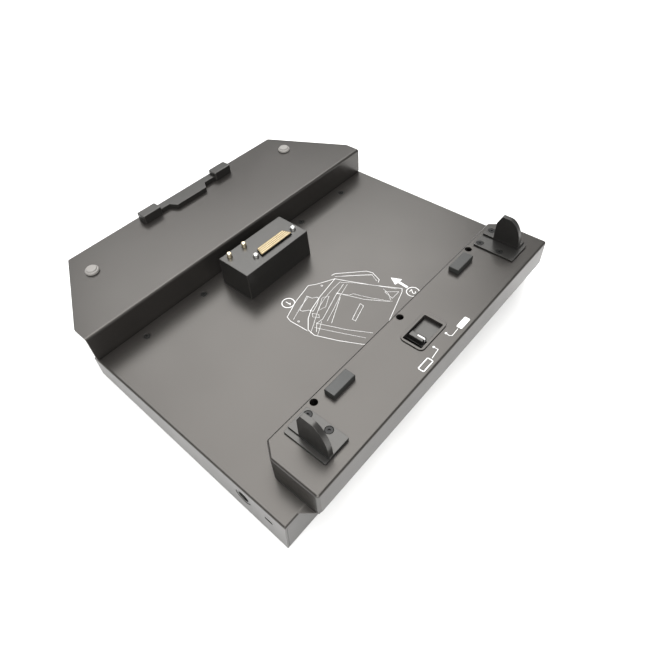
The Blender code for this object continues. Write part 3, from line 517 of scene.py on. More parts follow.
def mirrored(half, middle=0):
    """A whole outline from its +X half, which is given from front to rear."""
    right = [(middle + x, y) for x, y in half]
    left = [(middle - x, y) for x, y in half]
    return left[:1] + right + left[:0:-1]


def new_object(name, data):
    made = bpy.data.objects.new(name, data)
    bpy.context.scene.collection.objects.link(made)
    return made


def edited(mesh, change):
    """The mesh after a change that is made to its editable copy."""
    work = bmesh.new()
    work.from_mesh(mesh)
    change(work)
    work.to_mesh(mesh)
    work.free()
    return mesh


def prism(outline, low, high, along="Z"):
    """A mesh of the flat outline drawn out from low to high along an axis.

    The outline is in (x, y) along Z, in (y, z) along X, and in (x, z) along Y.
    """
    curve = bpy.data.curves.new("outline", "CURVE")
    curve.dimensions = "2D"
    curve.fill_mode = "BOTH"
    curve.extrude = (high - low) / 2
    spline = curve.splines.new("POLY")
    spline.points.add(len(outline) - 1)
    for point, (a, b) in zip(spline.points, outline):
        point.co = (a, b, 0, 1)
    spline.use_cyclic_u = True
    holder = new_object("outline", curve)
    graph = bpy.context.evaluated_depsgraph_get()
    mesh = bpy.data.meshes.new_from_object(holder.evaluated_get(graph))
    bpy.data.objects.remove(holder)
    middle = (low + high) / 2
    turn = {
        "Z": Matrix.Translation((0, 0, middle)),
        "X": Matrix(((0, 0, 1, middle), (1, 0, 0, 0), (0, 1, 0, 0), (0, 0, 0, 1))),
        "Y": Matrix(((1, 0, 0, 0), (0, 0, -1, middle), (0, 1, 0, 0), (0, 0, 0, 1))),
    }[along]
    mesh.transform(turn)
    return edited(mesh, weld)


def weld(work):
    """Joins loose caps and turns every face outwards."""
    bmesh.ops.remove_doubles(work, verts=work.verts, dist=WELD)
    bmesh.ops.recalc_face_normals(work, faces=work.faces)


def block(x, y, z, bevel=0.0, edges=None, segments=2):
    """A box between three pairs of coordinates. edges picks the edges that the bevel rounds."""
    work = bmesh.new()
    bmesh.ops.create_cube(work, size=1)
    size = Vector((x[1] - x[0], y[1] - y[0], z[1] - z[0]))
    middle = Vector((x[0] + x[1], y[0] + y[1], z[0] + z[1])) / 2
    bmesh.ops.scale(work, vec=size, verts=work.verts)
    bmesh.ops.translate(work, vec=middle, verts=work.verts)
    if bevel:
        picked = [edge for edge in work.edges if edges is None or edges(edge)]
        round_off(work, picked, bevel, segments * 2)
    return finished(work)


def above(level, part=False):
    """A choice of the edges that lie above a level, wholly or in part."""
    nearest = max if part else min
    return lambda edge: nearest(vert.co.z for vert in edge.verts) > level


def round_off(work, edges, width, segments):
    bmesh.ops.bevel(
        work, geom=edges, offset=width, segments=segments, profile=0.5, affect="EDGES"
    )


def finished(work):
    mesh = bpy.data.meshes.new("solid")
    work.to_mesh(mesh)
    work.free()
    return mesh


def rounded_prism(outline, low, high, bevel, segments=2):
    """An upright prism whose upper rim is rounded, as where sheet metal folds down."""

    def round_rim(work):
        level = max(vert.co.z for vert in work.verts) - WELD
        top = [edge for edge in work.edges if all(vert.co.z > level for vert in edge.verts)]
        rim = [e for e in top if len(e.link_faces) == 2 and e.calc_face_angle(0) > RIM_ANGLE]
        round_off(work, rim, bevel, segments * DETAIL)

    return edited(prism(outline, low, high), round_rim)


def turned(profile, centre, segments=24, along="Z", fine=DETAIL):
    """A solid of revolution made by a stack of rings, given as (radius, height) pairs."""
    segments *= fine
    work = bmesh.new()
    rings = []
    for radius, height in profile:
        ring = [
            work.verts.new((radius * math.cos(a), radius * math.sin(a), height))
            for a in (2 * math.pi * step / segments for step in range(segments))
        ]
        rings.append(ring)
    for lower, upper in zip(rings, rings[1:]):
        for step in range(segments):
            after = (step + 1) % segments
            work.faces.new((lower[step], lower[after], upper[after], upper[step]))
    work.faces.new(rings[0])
    work.faces.new(rings[-1])
    bmesh.ops.recalc_face_normals(work, faces=work.faces)
    mesh = finished(work)
    if along == "X":
        mesh.transform(Matrix.Rotation(math.pi / 2, 4, "Y"))
    if along == "Y":
        mesh.transform(Matrix.Rotation(-math.pi / 2, 4, "X"))
    mesh.transform(Matrix.Translation(centre))
    return mesh


# ---------------- pieces


def add(name, mesh, look, frame="slope", body="station", stands_for=True):
    """A piece in its frame's coordinates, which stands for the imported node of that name."""
    made = new_object(f"skin_{name}", mesh)
    made.parent = frames[frame]
    made.data.materials.append(finishes[look])
    built.append((made, name if stands_for else None, look, body))
    return made


def detail(name, meshes, look, frame="slope", body="station"):
    """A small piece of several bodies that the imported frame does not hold."""
    work = bmesh.new()
    for mesh in meshes:
        work.from_mesh(mesh)
    return add(name, finished(work), look, frame, body=body, stands_for=False)


def combine(target, operation, meshes, frame=None):
    """Boolean steps with meshes in the target's own frame, unless another is named."""
    for mesh in meshes:
        tool = bpy.data.objects.new(f"cutter_{len(cutters.objects):03d}", mesh)
        tool.parent = frames[frame] if frame else target.parent
        cutters.objects.link(tool)
        modifier = target.modifiers.new(operation.lower(), "BOOLEAN")
        modifier.operation = operation
        modifier.solver = "EXACT"
        modifier.object = tool


def cut(target, *meshes, frame=None):
    combine(target, "DIFFERENCE", meshes, frame)


def join(target, *meshes, frame=None):
    combine(target, "UNION", meshes, frame)


def cylinder(centre, radius, low, high, segments=20, along="Z"):
    return turned([(radius, low), (radius, high)], centre, segments, along)


def baked(pieces):
    """Fresh meshes of the pieces with their modifiers carried out."""
    bpy.context.view_layer.update()
    graph = bpy.context.evaluated_depsgraph_get()
    return [bpy.data.meshes.new_from_object(made.evaluated_get(graph)) for made in pieces]


def settle():
    """Carries out every cut and join, evens the shading, then hangs each piece on its body."""
    pieces = [made for made, *_ in built]
    for made, mesh in zip(pieces, baked(pieces)):
        mesh.transform(made.matrix_world)
        mesh.shade_smooth()
        mesh.set_sharp_from_angle(angle=SHARP_ANGLE)
        made.modifiers.clear()
        made.parent = None
        made.data = mesh
        made.modifiers.new("even", "WEIGHTED_NORMAL").keep_sharp = True
    for (made, node, look, body), mesh in zip(built, baked(pieces)):
        made.modifiers.clear()
        made.data = mesh
        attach(made, body)
        if node:
            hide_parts(node)
    for cutter in list(cutters.objects):
        bpy.data.objects.remove(cutter)


# ---------------- screws


def screw_profile(length, top, clear=0, gap=0):
    """Side view of a countersunk screw below its head's face, or of a hole that clears it."""
    return [
        (SCREW_SHANK + clear, -length),
        (SCREW_SHANK + clear, -SCREW_CONE - SCREW_SINK - gap),
        (SCREW_HEAD + clear, -SCREW_SINK - SCREW_RIM - gap),
        (SCREW_HEAD + clear, top),
    ]


def screw_hole(x, y, top, depth):
    """The countersunk hole that leaves the screw a small gap all round."""
    return turned(screw_profile(depth, 0.001, SCREW_CLEAR, GAP), (x, y, top), 16)


def add_screw(name, x, y, top, length, frame="slope", upward=False):
    """A countersunk screw with a hexagon socket, its head's face at the given height."""
    mesh = turned(screw_profile(length, -SCREW_SINK), (0, 0, 0), 16)
    socket = [(SCREW_SOCKET, -SCREW_SOCKET_DEPTH), (SCREW_SOCKET, 0.001)]
    socket = turned(socket, (0, 0, 0), 6, fine=1)
    flip = Matrix.Rotation(math.pi, 4, "X") if upward else Matrix()
    place = Matrix.Translation((x, y, top)) @ flip
    mesh.transform(place)
    socket.transform(place)
    made = add(name, mesh, "screw", frame)
    cut(made, socket)


# ---------------- sheet metal


def floor_at(y):
    """Height of the wedge's top plate above the table, in the level frame."""
    return FLOOR_HEIGHT + y * math.tan(TILT)


def wedge(front, rear, bottom, half, lowered=0):
    """A body whose top lies in the sloping top plate's face, or lowered from it."""
    ends = [(rear, floor_at(rear) - lowered), (front, floor_at(front) - lowered)]
    return prism([(front, bottom), (rear, bottom), *ends], -half, half, "X")


def fold_edges(work):
    """Rounds the wedge's upper edges, apart from the one in front, where the sheet ends."""
    bmesh.ops.dissolve_limit(work, angle_limit=0.001, verts=work.verts, edges=work.edges)
    upper = [e for e in work.edges if all(v.co.z > floor_at(v.co.y) - 1e-5 for v in e.verts)]
    folds = [e for e in upper if any(v.co.y > BASE_FRONT + 1e-5 for v in e.verts)]
    round_off(work, folds, BEND, FOLD_SEGMENTS)


def base_tray():
    """Top plate, side walls and rear wall, folded from one sheet and open below and in front."""
    outer = edited(wedge(BASE_FRONT, BASE_REAR, BASE_BOTTOM, HALF), fold_edges)
    tray = add("base_tray", outer, "paint", "level")
    under = SHEET / math.cos(TILT)
    inside = wedge(BASE_FRONT - REACH, BASE_REAR - SHEET, -REACH, HALF - SHEET, under)
    cut(tray, inside)
    ledge = [
        (LEDGE_HALF, LEDGE_FRONT),
        (LEDGE_HALF + LEDGE_FLARE, LEDGE_SHOULDER),
        (LEDGE_HALF, LEDGE_REAR),
    ]
    join(tray, prism(mirrored(ledge), 0.0001 - SHEET, -0.0001), frame="slope")
    slot = block((-INNER_HALF, INNER_HALF), (-0.02, FLOOR_START), (-SHORT_REACH, REACH))
    cut(tray, slot, frame="slope")
    inlet = (HALF - 0.003, JACK_Y, JACK_Z)
    cut(tray, cylinder(inlet, JACK_RADIUS + GAP, -REACH, REACH, 28, "X"))
    lock = rounded(centred(LOCK_Y, LOCK_Z, LOCK_LENGTH / 2, LOCK_WIDTH / 2), 0.0014)
    cut(tray, prism(lock, HALF - 0.008, HALF + 0.004, "X"))
    for side in (-1, 1):
        seam = sorted((side * (HALF - SHEET), side * (HALF - SHEET - SEAM)))
        rear = (BASE_REAR - SEAM * 2, BASE_REAR + 0.005)
        cut(tray, block(seam, rear, (-REACH, FLOOR_HEIGHT + 0.0145)))
    for x, y in SHELF_SCREWS:
        cut(tray, screw_hole(x, y, 0, REACH), frame="slope")
    for x, width, height in PORTS.values():
        window = block(
            around(x, width / 2 + GAP),
            around(BASE_REAR, SHORT_REACH),
            (PORT_Z - GAP, PORT_Z + height + GAP),
        )
        cut(tray, window)


def bottom_cover():
    """Flat pan that closes the wedge from below, with a low wall turned up at the front."""
    width = (-INNER_HALF, INNER_HALF)
    depth = (BASE_FRONT, BASE_REAR - SHEET - GAP)
    pan = block(width, depth, (BASE_BOTTOM, BASE_BOTTOM + SHEET))
    cover = add("bottom_cover", pan, "paint", "level")
    wall_top = floor_at(BASE_FRONT) - 0.0008
    wall = block(width, (BASE_FRONT, BASE_FRONT + SHEET), (BASE_BOTTOM, wall_top))
    join(cover, wall)
    for x in (BOARD_X[0] + 0.006, BOARD_X[1] - 0.006):
        for y in (BOARD_Y[0] + 0.006, BOARD_Y[1] - 0.030):
            join(cover, cylinder((x, y, 0), 0.0025, 0.003, BOARD_Z - GAP, 12))
    for x, y in COVER_SCREWS:
        hole = screw_hole(0, 0, 0, REACH)
        flip = Matrix.Rotation(math.pi, 4, "X")
        hole.transform(Matrix.Translation((x, y, BASE_BOTTOM)) @ flip)
        cut(cover, hole)


def cover_screws():
    for index, (x, y) in enumerate(COVER_SCREWS, 1):
        add_screw(f"cover_screw_{index}", x, y, BASE_BOTTOM, 0.0075, "level", upward=True)


def front_shelf():
    """Shelf, riser and hidden flange: one sheet folded twice, its flange under the top plate."""
    flange_top = -SHEET - GAP
    profile = rounded(
        [
            (SHELF_FRONT - 0.001, SHELF_TOP - SHEET),
            (-SHEET, SHELF_TOP - SHEET),
            (-SHEET, flange_top - SHEET),
            (SHELF_FLANGE, flange_top - SHEET),
            (SHELF_FLANGE, flange_top),
            (0, flange_top),
            (0, SHELF_TOP),
            (SHELF_FRONT - 0.001, SHELF_TOP),
        ],
        [0, 0.0010, 0.0024, 0, 0, 0.0006, 0.0024, 0],
        4,
    )
    shelf = add("front_shelf", prism(profile, -HALF, HALF, "X"), "paint")
    half = HALF - 0.0002
    plan = mirrored([(SHELF_HALF_FRONT, SHELF_FRONT), (half, SHELF_CORNER), (half, 0.03)])
    plan = rounded(plan, [0.002, 0.002, 0.006, 0, 0, 0.006], 4)
    combine(shelf, "INTERSECT", [prism(plan, -0.02, 0.05)])
    for side in (-1, 1):
        ends = sorted((side * (INNER_HALF - GAP), side * (HALF + REACH)))
        cut(shelf, block(ends, (-REACH, 0.04), (-0.02, GAP + 0.0001)))
    for x, y in SHELF_SCREWS:
        cut(shelf, cylinder((x, y, 0), SCREW_SHANK + SCREW_CLEAR, -REACH, 0.0, 16))


def shelf_screws():
    for index, (x, y) in enumerate(SHELF_SCREWS, 1):
        add_screw(f"shelf_screw_{index}", x, y, 0, 0.0070)


def platform_outline(inset):
    """Plan of the rear platform, drawn in by an inset from its outer faces."""
    half = PLATFORM_HALF - inset
    front = PLATFORM_FRONT + inset
    slant = inset * 0.41
    return mirrored([
        (half - PLATFORM_CHAMFER_X + slant, front),
        (half, front + PLATFORM_CHAMFER_Y - slant),
        (half, PLATFORM_REAR - inset),
    ])


def rear_platform():
    """Folded cover with a top and skirts on all four sides, open below."""
    outer = rounded(platform_outline(0), BEND + 0.0006, 2)
    cover = add("rear_platform", rounded_prism(outer, GAP, PLATFORM_TOP, BEND), "paint")
    inside = rounded(platform_outline(SHEET), 0.0006, 2)
    cut(cover, rounded_prism(inside, -REACH, PLATFORM_TOP - SHEET, 0.0004, segments=1))
    rear = (PLATFORM_REAR - SHEET - 0.0004, PLATFORM_REAR + REACH)
    cut(cover, block((-HALF, HALF), rear, (-REACH, REAR_SKIRT_BOTTOM)))
    window = rounded(window_outline(COLLAR_WALL + GAP), 0.0016)
    cut(cover, prism(window, *around(PLATFORM_TOP, SHORT_REACH)))
    holes = [(x, VENT_Y, VENT_RADIUS, 24) for x in (-VENT_X, 0, VENT_X)]
    screws = RIGHT_SCREWS + LEFT_INNER_SCREWS + LEFT_OUTER_SCREWS
    holes += [(x, y, SCREW_SHANK + SCREW_CLEAR, 12) for x, y in screws]
    for x, y, radius, segments in holes:
        centre = (x, y, PLATFORM_TOP)
        cut(cover, cylinder(centre, radius, -SHORT_REACH, SHORT_REACH, segments))


def window_outline(grow):
    """The selector's window, grown on every side."""
    return centred(WINDOW_X, WINDOW_Y, WINDOW_LENGTH / 2 + grow, WINDOW_WIDTH / 2 + grow)


# ---------------- guides and stops


def fin_outline(foot, top, length):
    """Side view of a guide fin: upright towards the user, falling in a curve to the rear."""
    front = GUIDE_Y[0] + FIN_SET_BACK
    rear = front + length
    crest = front + FIN_TOP[1] * length
    points = [(front, foot), (front + 0.0003, top - FIN_UPRIGHT)]
    points += [(front + FIN_TOP[0] * length, top), (crest, top)]
    low = foot + 0.001
    for step in range(1, FIN_STEPS + 1):
        angle = math.pi / 2 * step / FIN_STEPS
        y = crest + (rear - crest) * math.sin(angle) ** FIN_CURVE[0]
        z = low + (top - low) * math.cos(angle) ** FIN_CURVE[1]
        points.append((y, z))
    points.append((rear, foot))
    return points[::-1]


def guide(side, plate_x, foot_x, fin_x, fin_rise, fin_length, outer_corner):
    """One rear guide: a spacer plate, and on it a foot that turns up into the fin."""
    plate_low = PLATFORM_TOP + GAP
    foot_low = plate_low + GUIDE_PLATE + GAP
    foot_high = foot_low + GUIDE_PLATE
    plate = rounded(rectangle(plate_x, GUIDE_Y), [0.0008, 0.0008, 0.0008, outer_corner], 2)
    add(f"guide_plate_{side}", prism(plate, plate_low, plate_low + GUIDE_PLATE), "moulding")
    foot_y = (GUIDE_Y[0], GUIDE_Y[0] + FIN_SET_BACK + fin_length + 0.0004)
    foot = rounded(rectangle(foot_x, foot_y), 0.0006, 2)
    fin = add(f"guide_fin_{side}", prism(foot, foot_low, foot_high), "moulding")
    outline = fin_outline(foot_low + 0.0002, PLATFORM_TOP + fin_rise, fin_length)
    join(fin, prism(outline, *fin_x, "X"))
    return foot_high, plate_low + GUIDE_PLATE


def guides():
    right_fin = (RIGHT_FOOT_X[1] - FIN_THICK, RIGHT_FOOT_X[1] - 0.0001)
    left_fin = (LEFT_FOOT_X[1] - FIN_THICK - 0.0001, LEFT_FOOT_X[1] - 0.0001)
    right = (RIGHT_PLATE_X, RIGHT_FOOT_X, right_fin, *RIGHT_FIN)
    left = (LEFT_PLATE_X, LEFT_FOOT_X, left_fin, *LEFT_FIN)
    right_top = guide("right", *right)[0]
    left_top, left_plate_top = guide("left", *left)
    fasten("right", RIGHT_SCREWS, right_top, ("guide_fin_right", "guide_plate_right"))
    fasten("left_outer", LEFT_OUTER_SCREWS, left_top, ("guide_fin_left", "guide_plate_left"))
    fasten("left_inner", LEFT_INNER_SCREWS, left_plate_top, ("guide_plate_left",))


def fasten(label, places, top, clamped):
    """Countersunk screws down through the named pieces and into the platform."""
    for index, (x, y) in enumerate(places, 1):
        for name in clamped:
            cut(bpy.data.objects[f"skin_{name}"], screw_hole(x, y, top, 0.008))
        add_screw(f"guide_screw_{label}_{index}", x, y, top, 0.0090)


def pads():
    low = PLATFORM_TOP + GAP
    length, width, height = PAD_SIZE
    for side, label in SIDES:
        x = around(side * PAD_X, length / 2)
        y = around(PAD_Y, width / 2)
        mesh = block(x, y, (low, low + height), PAD_BEVEL, above(low + 0.001))
        add(f"rest_pad_{label}", mesh, "rubber")


def bumpers():
    low = SHELF_TOP + GAP
    profile = [(BUMPER_RADIUS - inset, low + rise) for inset, rise in BUMPER_PROFILE]
    for side, label in SIDES:
        mesh = turned(profile, (side * BUMPER_X, BUMPER_Y, 0), 28)
        add(f"bumper_{label}", mesh, "bumper")


def front_catch():
    """Low bar along the shelf's front edge, with a taller stop at each end and a middle tongue."""
    low = SHELF_TOP + GAP
    tongue = CATCH_X + CATCH_TONGUE_OFFSET
    bar_half = CATCH_HALF - CATCH_BLOCK + 0.002
    bar = [
        (CATCH_X - bar_half, CATCH_Y[0]),
        (CATCH_X + bar_half, CATCH_Y[0]),
        (CATCH_X + bar_half, CATCH_Y[1]),
        (tongue + 0.0220, CATCH_Y[1]),
        (tongue + 0.0175, CATCH_TAB_REAR),
        (tongue - 0.0175, CATCH_TAB_REAR),
        (tongue - 0.0220, CATCH_Y[1]),
        (CATCH_X - bar_half, CATCH_Y[1]),
    ]
    bar = rounded_prism(bar, low, SHELF_TOP + CATCH_BAR_RISE, 0.0004, segments=1)
    catch = add("front_catch", bar, "moulding")
    for side in (-1, 1):
        ends = [CATCH_X + side * CATCH_HALF, CATCH_X + side * (CATCH_HALF - CATCH_BLOCK)]
        depth = (CATCH_Y[0] - 0.0002, CATCH_BLOCK_REAR)
        stop = rounded(rectangle(sorted(ends), depth), 0.0014, 2)
        join(catch, rounded_prism(stop, low + 0.00005, SHELF_TOP + CATCH_BLOCK_RISE, 0.0008))


def rubber_feet():
    corners = [(x, y) for y in FOOT_Y for x in (-FOOT_X, FOOT_X)]
    profile = [(FOOT_RADIUS - 0.0006, 0), (FOOT_RADIUS, 0.0006), (FOOT_RADIUS, FOOT_HEIGHT)]
    for index, (x, y) in enumerate(corners, 1):
        add(f"foot_{index}", turned(profile, (x, y, 0), 20), "rubber", "level")


# ---------------- docking connector


def plug_outline(grow):
    """D-shaped outline of the contact field, its long side towards the rear."""
    long_half = PLUG_LENGTH / 2 + grow
    half = PLUG_WIDTH / 2 + grow
    corners = [(long_half - PLUG_TAPER, PLUG_Y - half), (long_half, PLUG_Y + half)]
    return rounded(mirrored(corners, PLUG_X), [0.0018, 0.0018, 0.0008, 0.0008], 3)


def connector_block():
    """Moulded housing that lifts the connector to the notebook; a shell open below."""
    outer = block(BLOCK_X, BLOCK_Y, (GAP, BLOCK_TOP), 0.0007, above(GAP + 0.001, part=True))
    middle = (sum(BLOCK_X) / 2, sum(BLOCK_Y) / 2)
    for vert in outer.vertices:
        if vert.co.z < GAP + 0.001:
            vert.co.x += math.copysign(BLOCK_DRAFT, vert.co.x - middle[0])
            vert.co.y += math.copysign(BLOCK_DRAFT, vert.co.y - middle[1])
    housing = add("connector_block", outer, "moulding")
    hollow = block(
        (BLOCK_X[0] + BLOCK_WALL, BLOCK_X[1] - BLOCK_WALL),
        (BLOCK_Y[0] + BLOCK_WALL, BLOCK_Y[1] - BLOCK_WALL),
        (-REACH, BLOCK_TOP - BLOCK_WALL),
    )
    cut(housing, hollow)
    cut(housing, prism(plug_outline(GAP), *around(BLOCK_TOP, SHORT_REACH)))
    holes = [(x, POST_Y, POST_RADIUS, 20) for x in POST_X]
    holes += [(x, POWER_PIN_Y, POWER_PIN_RADIUS, 18) for x in POWER_PIN_X]
    for x, y, radius, segments in holes:
        centre = (x, y, BLOCK_TOP)
        cut(housing, cylinder(centre, radius + GAP, -SHORT_REACH, SHORT_REACH, segments))


def connector_pieces():
    """Contact insert, its gold field, two guide posts and two sprung power pins."""
    seat = 0.0040 + BOARD_THICK + GAP
    body_top = BLOCK_TOP + PLUG_RISE - 0.0006
    add("contact_insert", prism(plug_outline(-0.0003), seat, body_top), "moulding")
    field = (body_top + GAP, BLOCK_TOP + PLUG_RISE + 0.0002)
    field = rounded_prism(plug_outline(-0.0001), *field, 0.0002, segments=1)
    add("contact_field", field, "field")
    top = BLOCK_TOP + POST_RISE
    post = [
        (POST_RADIUS, seat),
        (POST_RADIUS, top - 0.0012),
        (POST_RADIUS - 0.0004, top - 0.0004),
        (POST_RADIUS - 0.0011, top),
    ]
    top = BLOCK_TOP + POWER_PIN_RISE
    pin = [
        (POWER_PIN_RADIUS, seat + 0.0012 + POWER_PIN_TRAVEL + 0.0018),
        (POWER_PIN_RADIUS, top - 0.0010),
        (POWER_PIN_RADIUS - 0.0003, top - 0.0004),
        (POWER_PIN_RADIUS - 0.0009, top),
    ]
    for (_, label), x in zip(SIDES, POST_X):
        add(f"guide_post_{label}", turned(post, (x, POST_Y, 0), 20), "steel")
    for (_, label), x in zip(SIDES, POWER_PIN_X):
        mesh = turned(pin, (x, POWER_PIN_Y, 0), 18)
        add(f"power_pin_{label}", mesh, "gold", body=f"{label}_pin")


# ---------------- selector


def selector_bezel():
    """Rim round the window, with a collar that reaches down through the platform's sheet."""
    rim = rounded(centred(RIM_X, WINDOW_Y, RIM_LENGTH / 2, RIM_WIDTH / 2), 0.0040, 4)
    low = PLATFORM_TOP + GAP
    rim = rounded_prism(rim, low, low + RIM_RISE, 0.0003, segments=1)
    bezel = add("selector_bezel", rim, "paint")
    collar = rounded(window_outline(COLLAR_WALL), 0.0014)
    join(bezel, prism(collar, COLLAR_BOTTOM, low + RIM_RISE - 0.0002))
    opening = rounded(window_outline(0), 0.0008, 2)
    cut(bezel, prism(opening, COLLAR_BOTTOM - 0.005, PLATFORM_TOP + REACH))


def selector_slider():
    """Flat slide with a raised tab at its end; its edge has a notch for each position."""
    high = COLLAR_BOTTOM - GAP
    low = high - SLIDER_THICK
    depth = around(WINDOW_Y, SLIDER_HALF_WIDTH)
    slide = block(SLIDER_X, depth, (low, high))
    slider = add("selector_slider", slide, "moulding", body="selector")
    tab = (high - 0.0006, high + TAB_RISE)
    join(slider, block(TAB_X, TAB_Y, tab, TAB_BEVEL, above(high + 0.001)))
    beside = (TAB_Y[1], depth[1] + REACH)
    cut(slider, block((TAB_X[0] + 0.0015, TAB_X[1] + REACH), beside, (low - REACH, high + REACH)))
    for place in (0, SELECTOR_TRAVEL):
        notch = (SLIDER_X[0] + 0.004 + place, depth[1] + 0.0008, high)
        cut(slider, cylinder(notch, 0.0018, -REACH, REACH, 16))


# ---------------- ports


def inwards(deep, shallow=-REACH):
    """A span behind the sockets' faces, which by default runs out through them."""
    return (PORT_FACE - deep, PORT_FACE - shallow)


def port_body(name, depth):
    """A socket's box behind its window, and its middle and height."""
    x, width, height = PORTS[name]
    body = block(around(x, width / 2), inwards(depth, 0), (PORT_Z, PORT_Z + height))
    return add(name, body, "steel", "level"), x, height


def network_socket():
    socket, x, height = port_body("network_socket", 0.0180)
    y = inwards(0.0125)
    mouth = block(around(x, 0.0059), y, (PORT_Z + 0.0030, PORT_Z + height - 0.0012))
    keyway = block(around(x, 0.0020), y, (PORT_Z + 0.0012, PORT_Z + 0.0040))
    cut(socket, mouth, keyway)


def usb_stack(name):
    """Two flat sockets above each other, each with its tongue."""
    stack, x, _ = port_body(name, 0.0170)
    for low in USB_LOWS:
        cut(stack, block(around(x, 0.0063), inwards(0.0105), (low, low + 0.0053)))
    for low in USB_LOWS:
        tongue = (low + 0.0027, low + 0.0044)
        join(stack, block(around(x, 0.0055), inwards(0.0115, 0.0010), tongue))


def display_socket():
    socket, x, _ = port_body("display_socket", 0.0120)
    low = PORT_Z + 0.0010
    mouth = mirrored([(0.0055, low), (0.0070, low + 0.0016), (0.0070, low + 0.0046)], x)
    cut(socket, prism(mouth, *inwards(0.0090), "Y"))
    tongue = (low + 0.0019, low + 0.0029)
    join(socket, block(around(x, 0.0048), inwards(0.0100, 0.0015), tongue))


def shell_outline(x, half_length, half_height):
    low, high = around(SHELL_MIDDLE, half_height)
    corners = mirrored([(half_length - SHELL_TAPER, low), (half_length, high)], x)
    return rounded(corners, 0.0016, 3)


def shell_socket(name, half_length, hollow):
    """A screw-down socket with a D-shaped metal shell that stands out under the ledge."""
    socket, x, _ = port_body(name, 0.0110)
    shell = shell_outline(x, half_length, SHELL_HALF_HEIGHT)
    join(socket, prism(shell, *inwards(0.001, -0.0022), "Y"))
    if hollow:
        core = shell_outline(x, half_length - SHELL_WALL, SHELL_HALF_HEIGHT - SHELL_WALL)
        cut(socket, prism(core, *inwards(0.0042), "Y"))


def ports():
    network_socket()
    usb_stack("usb_stack_1")
    usb_stack("usb_stack_2")
    display_socket()
    shell_socket("video_socket", 0.0120, hollow=False)
    shell_socket("serial_socket", 0.0092, hollow=True)


def power_jack():
    """Round inlet with a centre pin, held in the right side wall."""
    centre = (0, JACK_Y, JACK_Z)
    body = cylinder(centre, JACK_RADIUS, HALF - JACK_DEPTH, HALF - 0.0003, 28, "X")
    jack = add("power_jack", body, "moulding", "level")
    for radius, depth in JACK_BORES:
        cut(jack, cylinder(centre, radius, HALF - depth, HALF + REACH, 24, "X"))
    pin = [(JACK_PIN, HALF - 0.0120), (JACK_PIN, HALF - 0.0030), (0.0006, HALF - 0.0024)]
    join(jack, turned(pin, centre, 12, "X"))


# ---------------- printed marks


def stroke(work, points, width, level, closed=False):
    """Lays a flat line of even width along the points."""
    points = [Vector(point) for point in points]
    count = len(points)
    sides = []
    for index, point in enumerate(points):
        before = points[index - 1] if closed or index else None
        after = points[(index + 1) % count] if closed or index < count - 1 else None
        into = (point - before).normalized() if before is not None else (after - point).normalized()
        out = (after - point).normalized() if after is not None else into
        along = (into + out).normalized()
        square = Vector((-along.y, along.x))
        reach = width / 2 / max(0.5, square.dot(Vector((-into.y, into.x))))
        sides.append([work.verts.new((*(point + square * reach * way), level)) for way in (-1, 1)])
    pairs = list(zip(sides, sides[1:])) + ([(sides[-1], sides[0])] if closed else [])
    for (low, high), (next_low, next_high) in pairs:
        work.faces.new((low, next_low, next_high, high))


def ring(centre, radius, steps=40):
    x, y = centre
    turns = [2 * math.pi * step / steps for step in range(steps)]
    return [(x + radius * math.cos(turn), y + radius * math.sin(turn)) for turn in turns]


def patch(work, outline, level):
    work.faces.new([work.verts.new((x, y, level)) for x, y in outline])


def drawn(points, place=(0, 0)):
    """Points of the line drawing in metres, shifted by a place that is given like them."""
    return [((place[0] + x) * TENTH, (place[1] + y) * TENTH) for x, y in points]


def floor_pictogram():
    """Line drawing of a notebook going on to the station, with its two steps and an arrow."""
    level = INK_LIFT
    work = bmesh.new()
    stroke(work, drawn(STATION_OUTLINE), LINE, level)
    stroke(work, drawn(NOTEBOOK_OUTLINE), LINE, level, closed=True)
    stroke(work, drawn(LID_OUTLINE), LINE, level)
    for points in (NOTEBOOK_EDGE, *NOTEBOOK_SIDES, LID_LINE):
        stroke(work, drawn(points), FINE_LINE, level)
    for points in NOTEBOOK_LINES:
        stroke(work, drawn(points), FAINT_LINE, level)
    for points in (NOTEBOOK_SLOT, CATCH_MARK, CORNER_MARK):
        stroke(work, drawn(points), FINE_LINE, level, closed=True)
    for centre in drawn(SMALL_RINGS):
        stroke(work, ring(centre, SMALL_RING_RADIUS, 16), FINE_LINE, level, closed=True)
    for place, shape in ((STEP_ONE, NUMERAL_ONE), (STEP_TWO, NUMERAL_TWO)):
        centre = drawn([place])[0]
        stroke(work, ring(centre, STEP_RADIUS), RING_LINE, level, closed=True)
        stroke(work, drawn(shape, place), NUMERAL_LINE, level)
    patch(work, drawn(ARROW), level)
    print_piece("floor_print", work)


def platform_print():
    """Two dots beside the selector, each with a leader to a plain mark."""
    level = PLATFORM_TOP + INK_LIFT
    work = bmesh.new()
    for dot, leader in ((FIRST_DOT, FIRST_LEADER), (SECOND_DOT, SECOND_LEADER)):
        patch(work, ring(dot, DOT_RADIUS, 20), level)
        stroke(work, leader, LINE, level)
    first, second = (rounded(rectangle(*mark), 0.0008, 1) for mark in (FIRST_MARK, SECOND_MARK))
    stroke(work, first, FRAME_LINE, level, closed=True)
    patch(work, second, level)
    print_piece("platform_print", work)


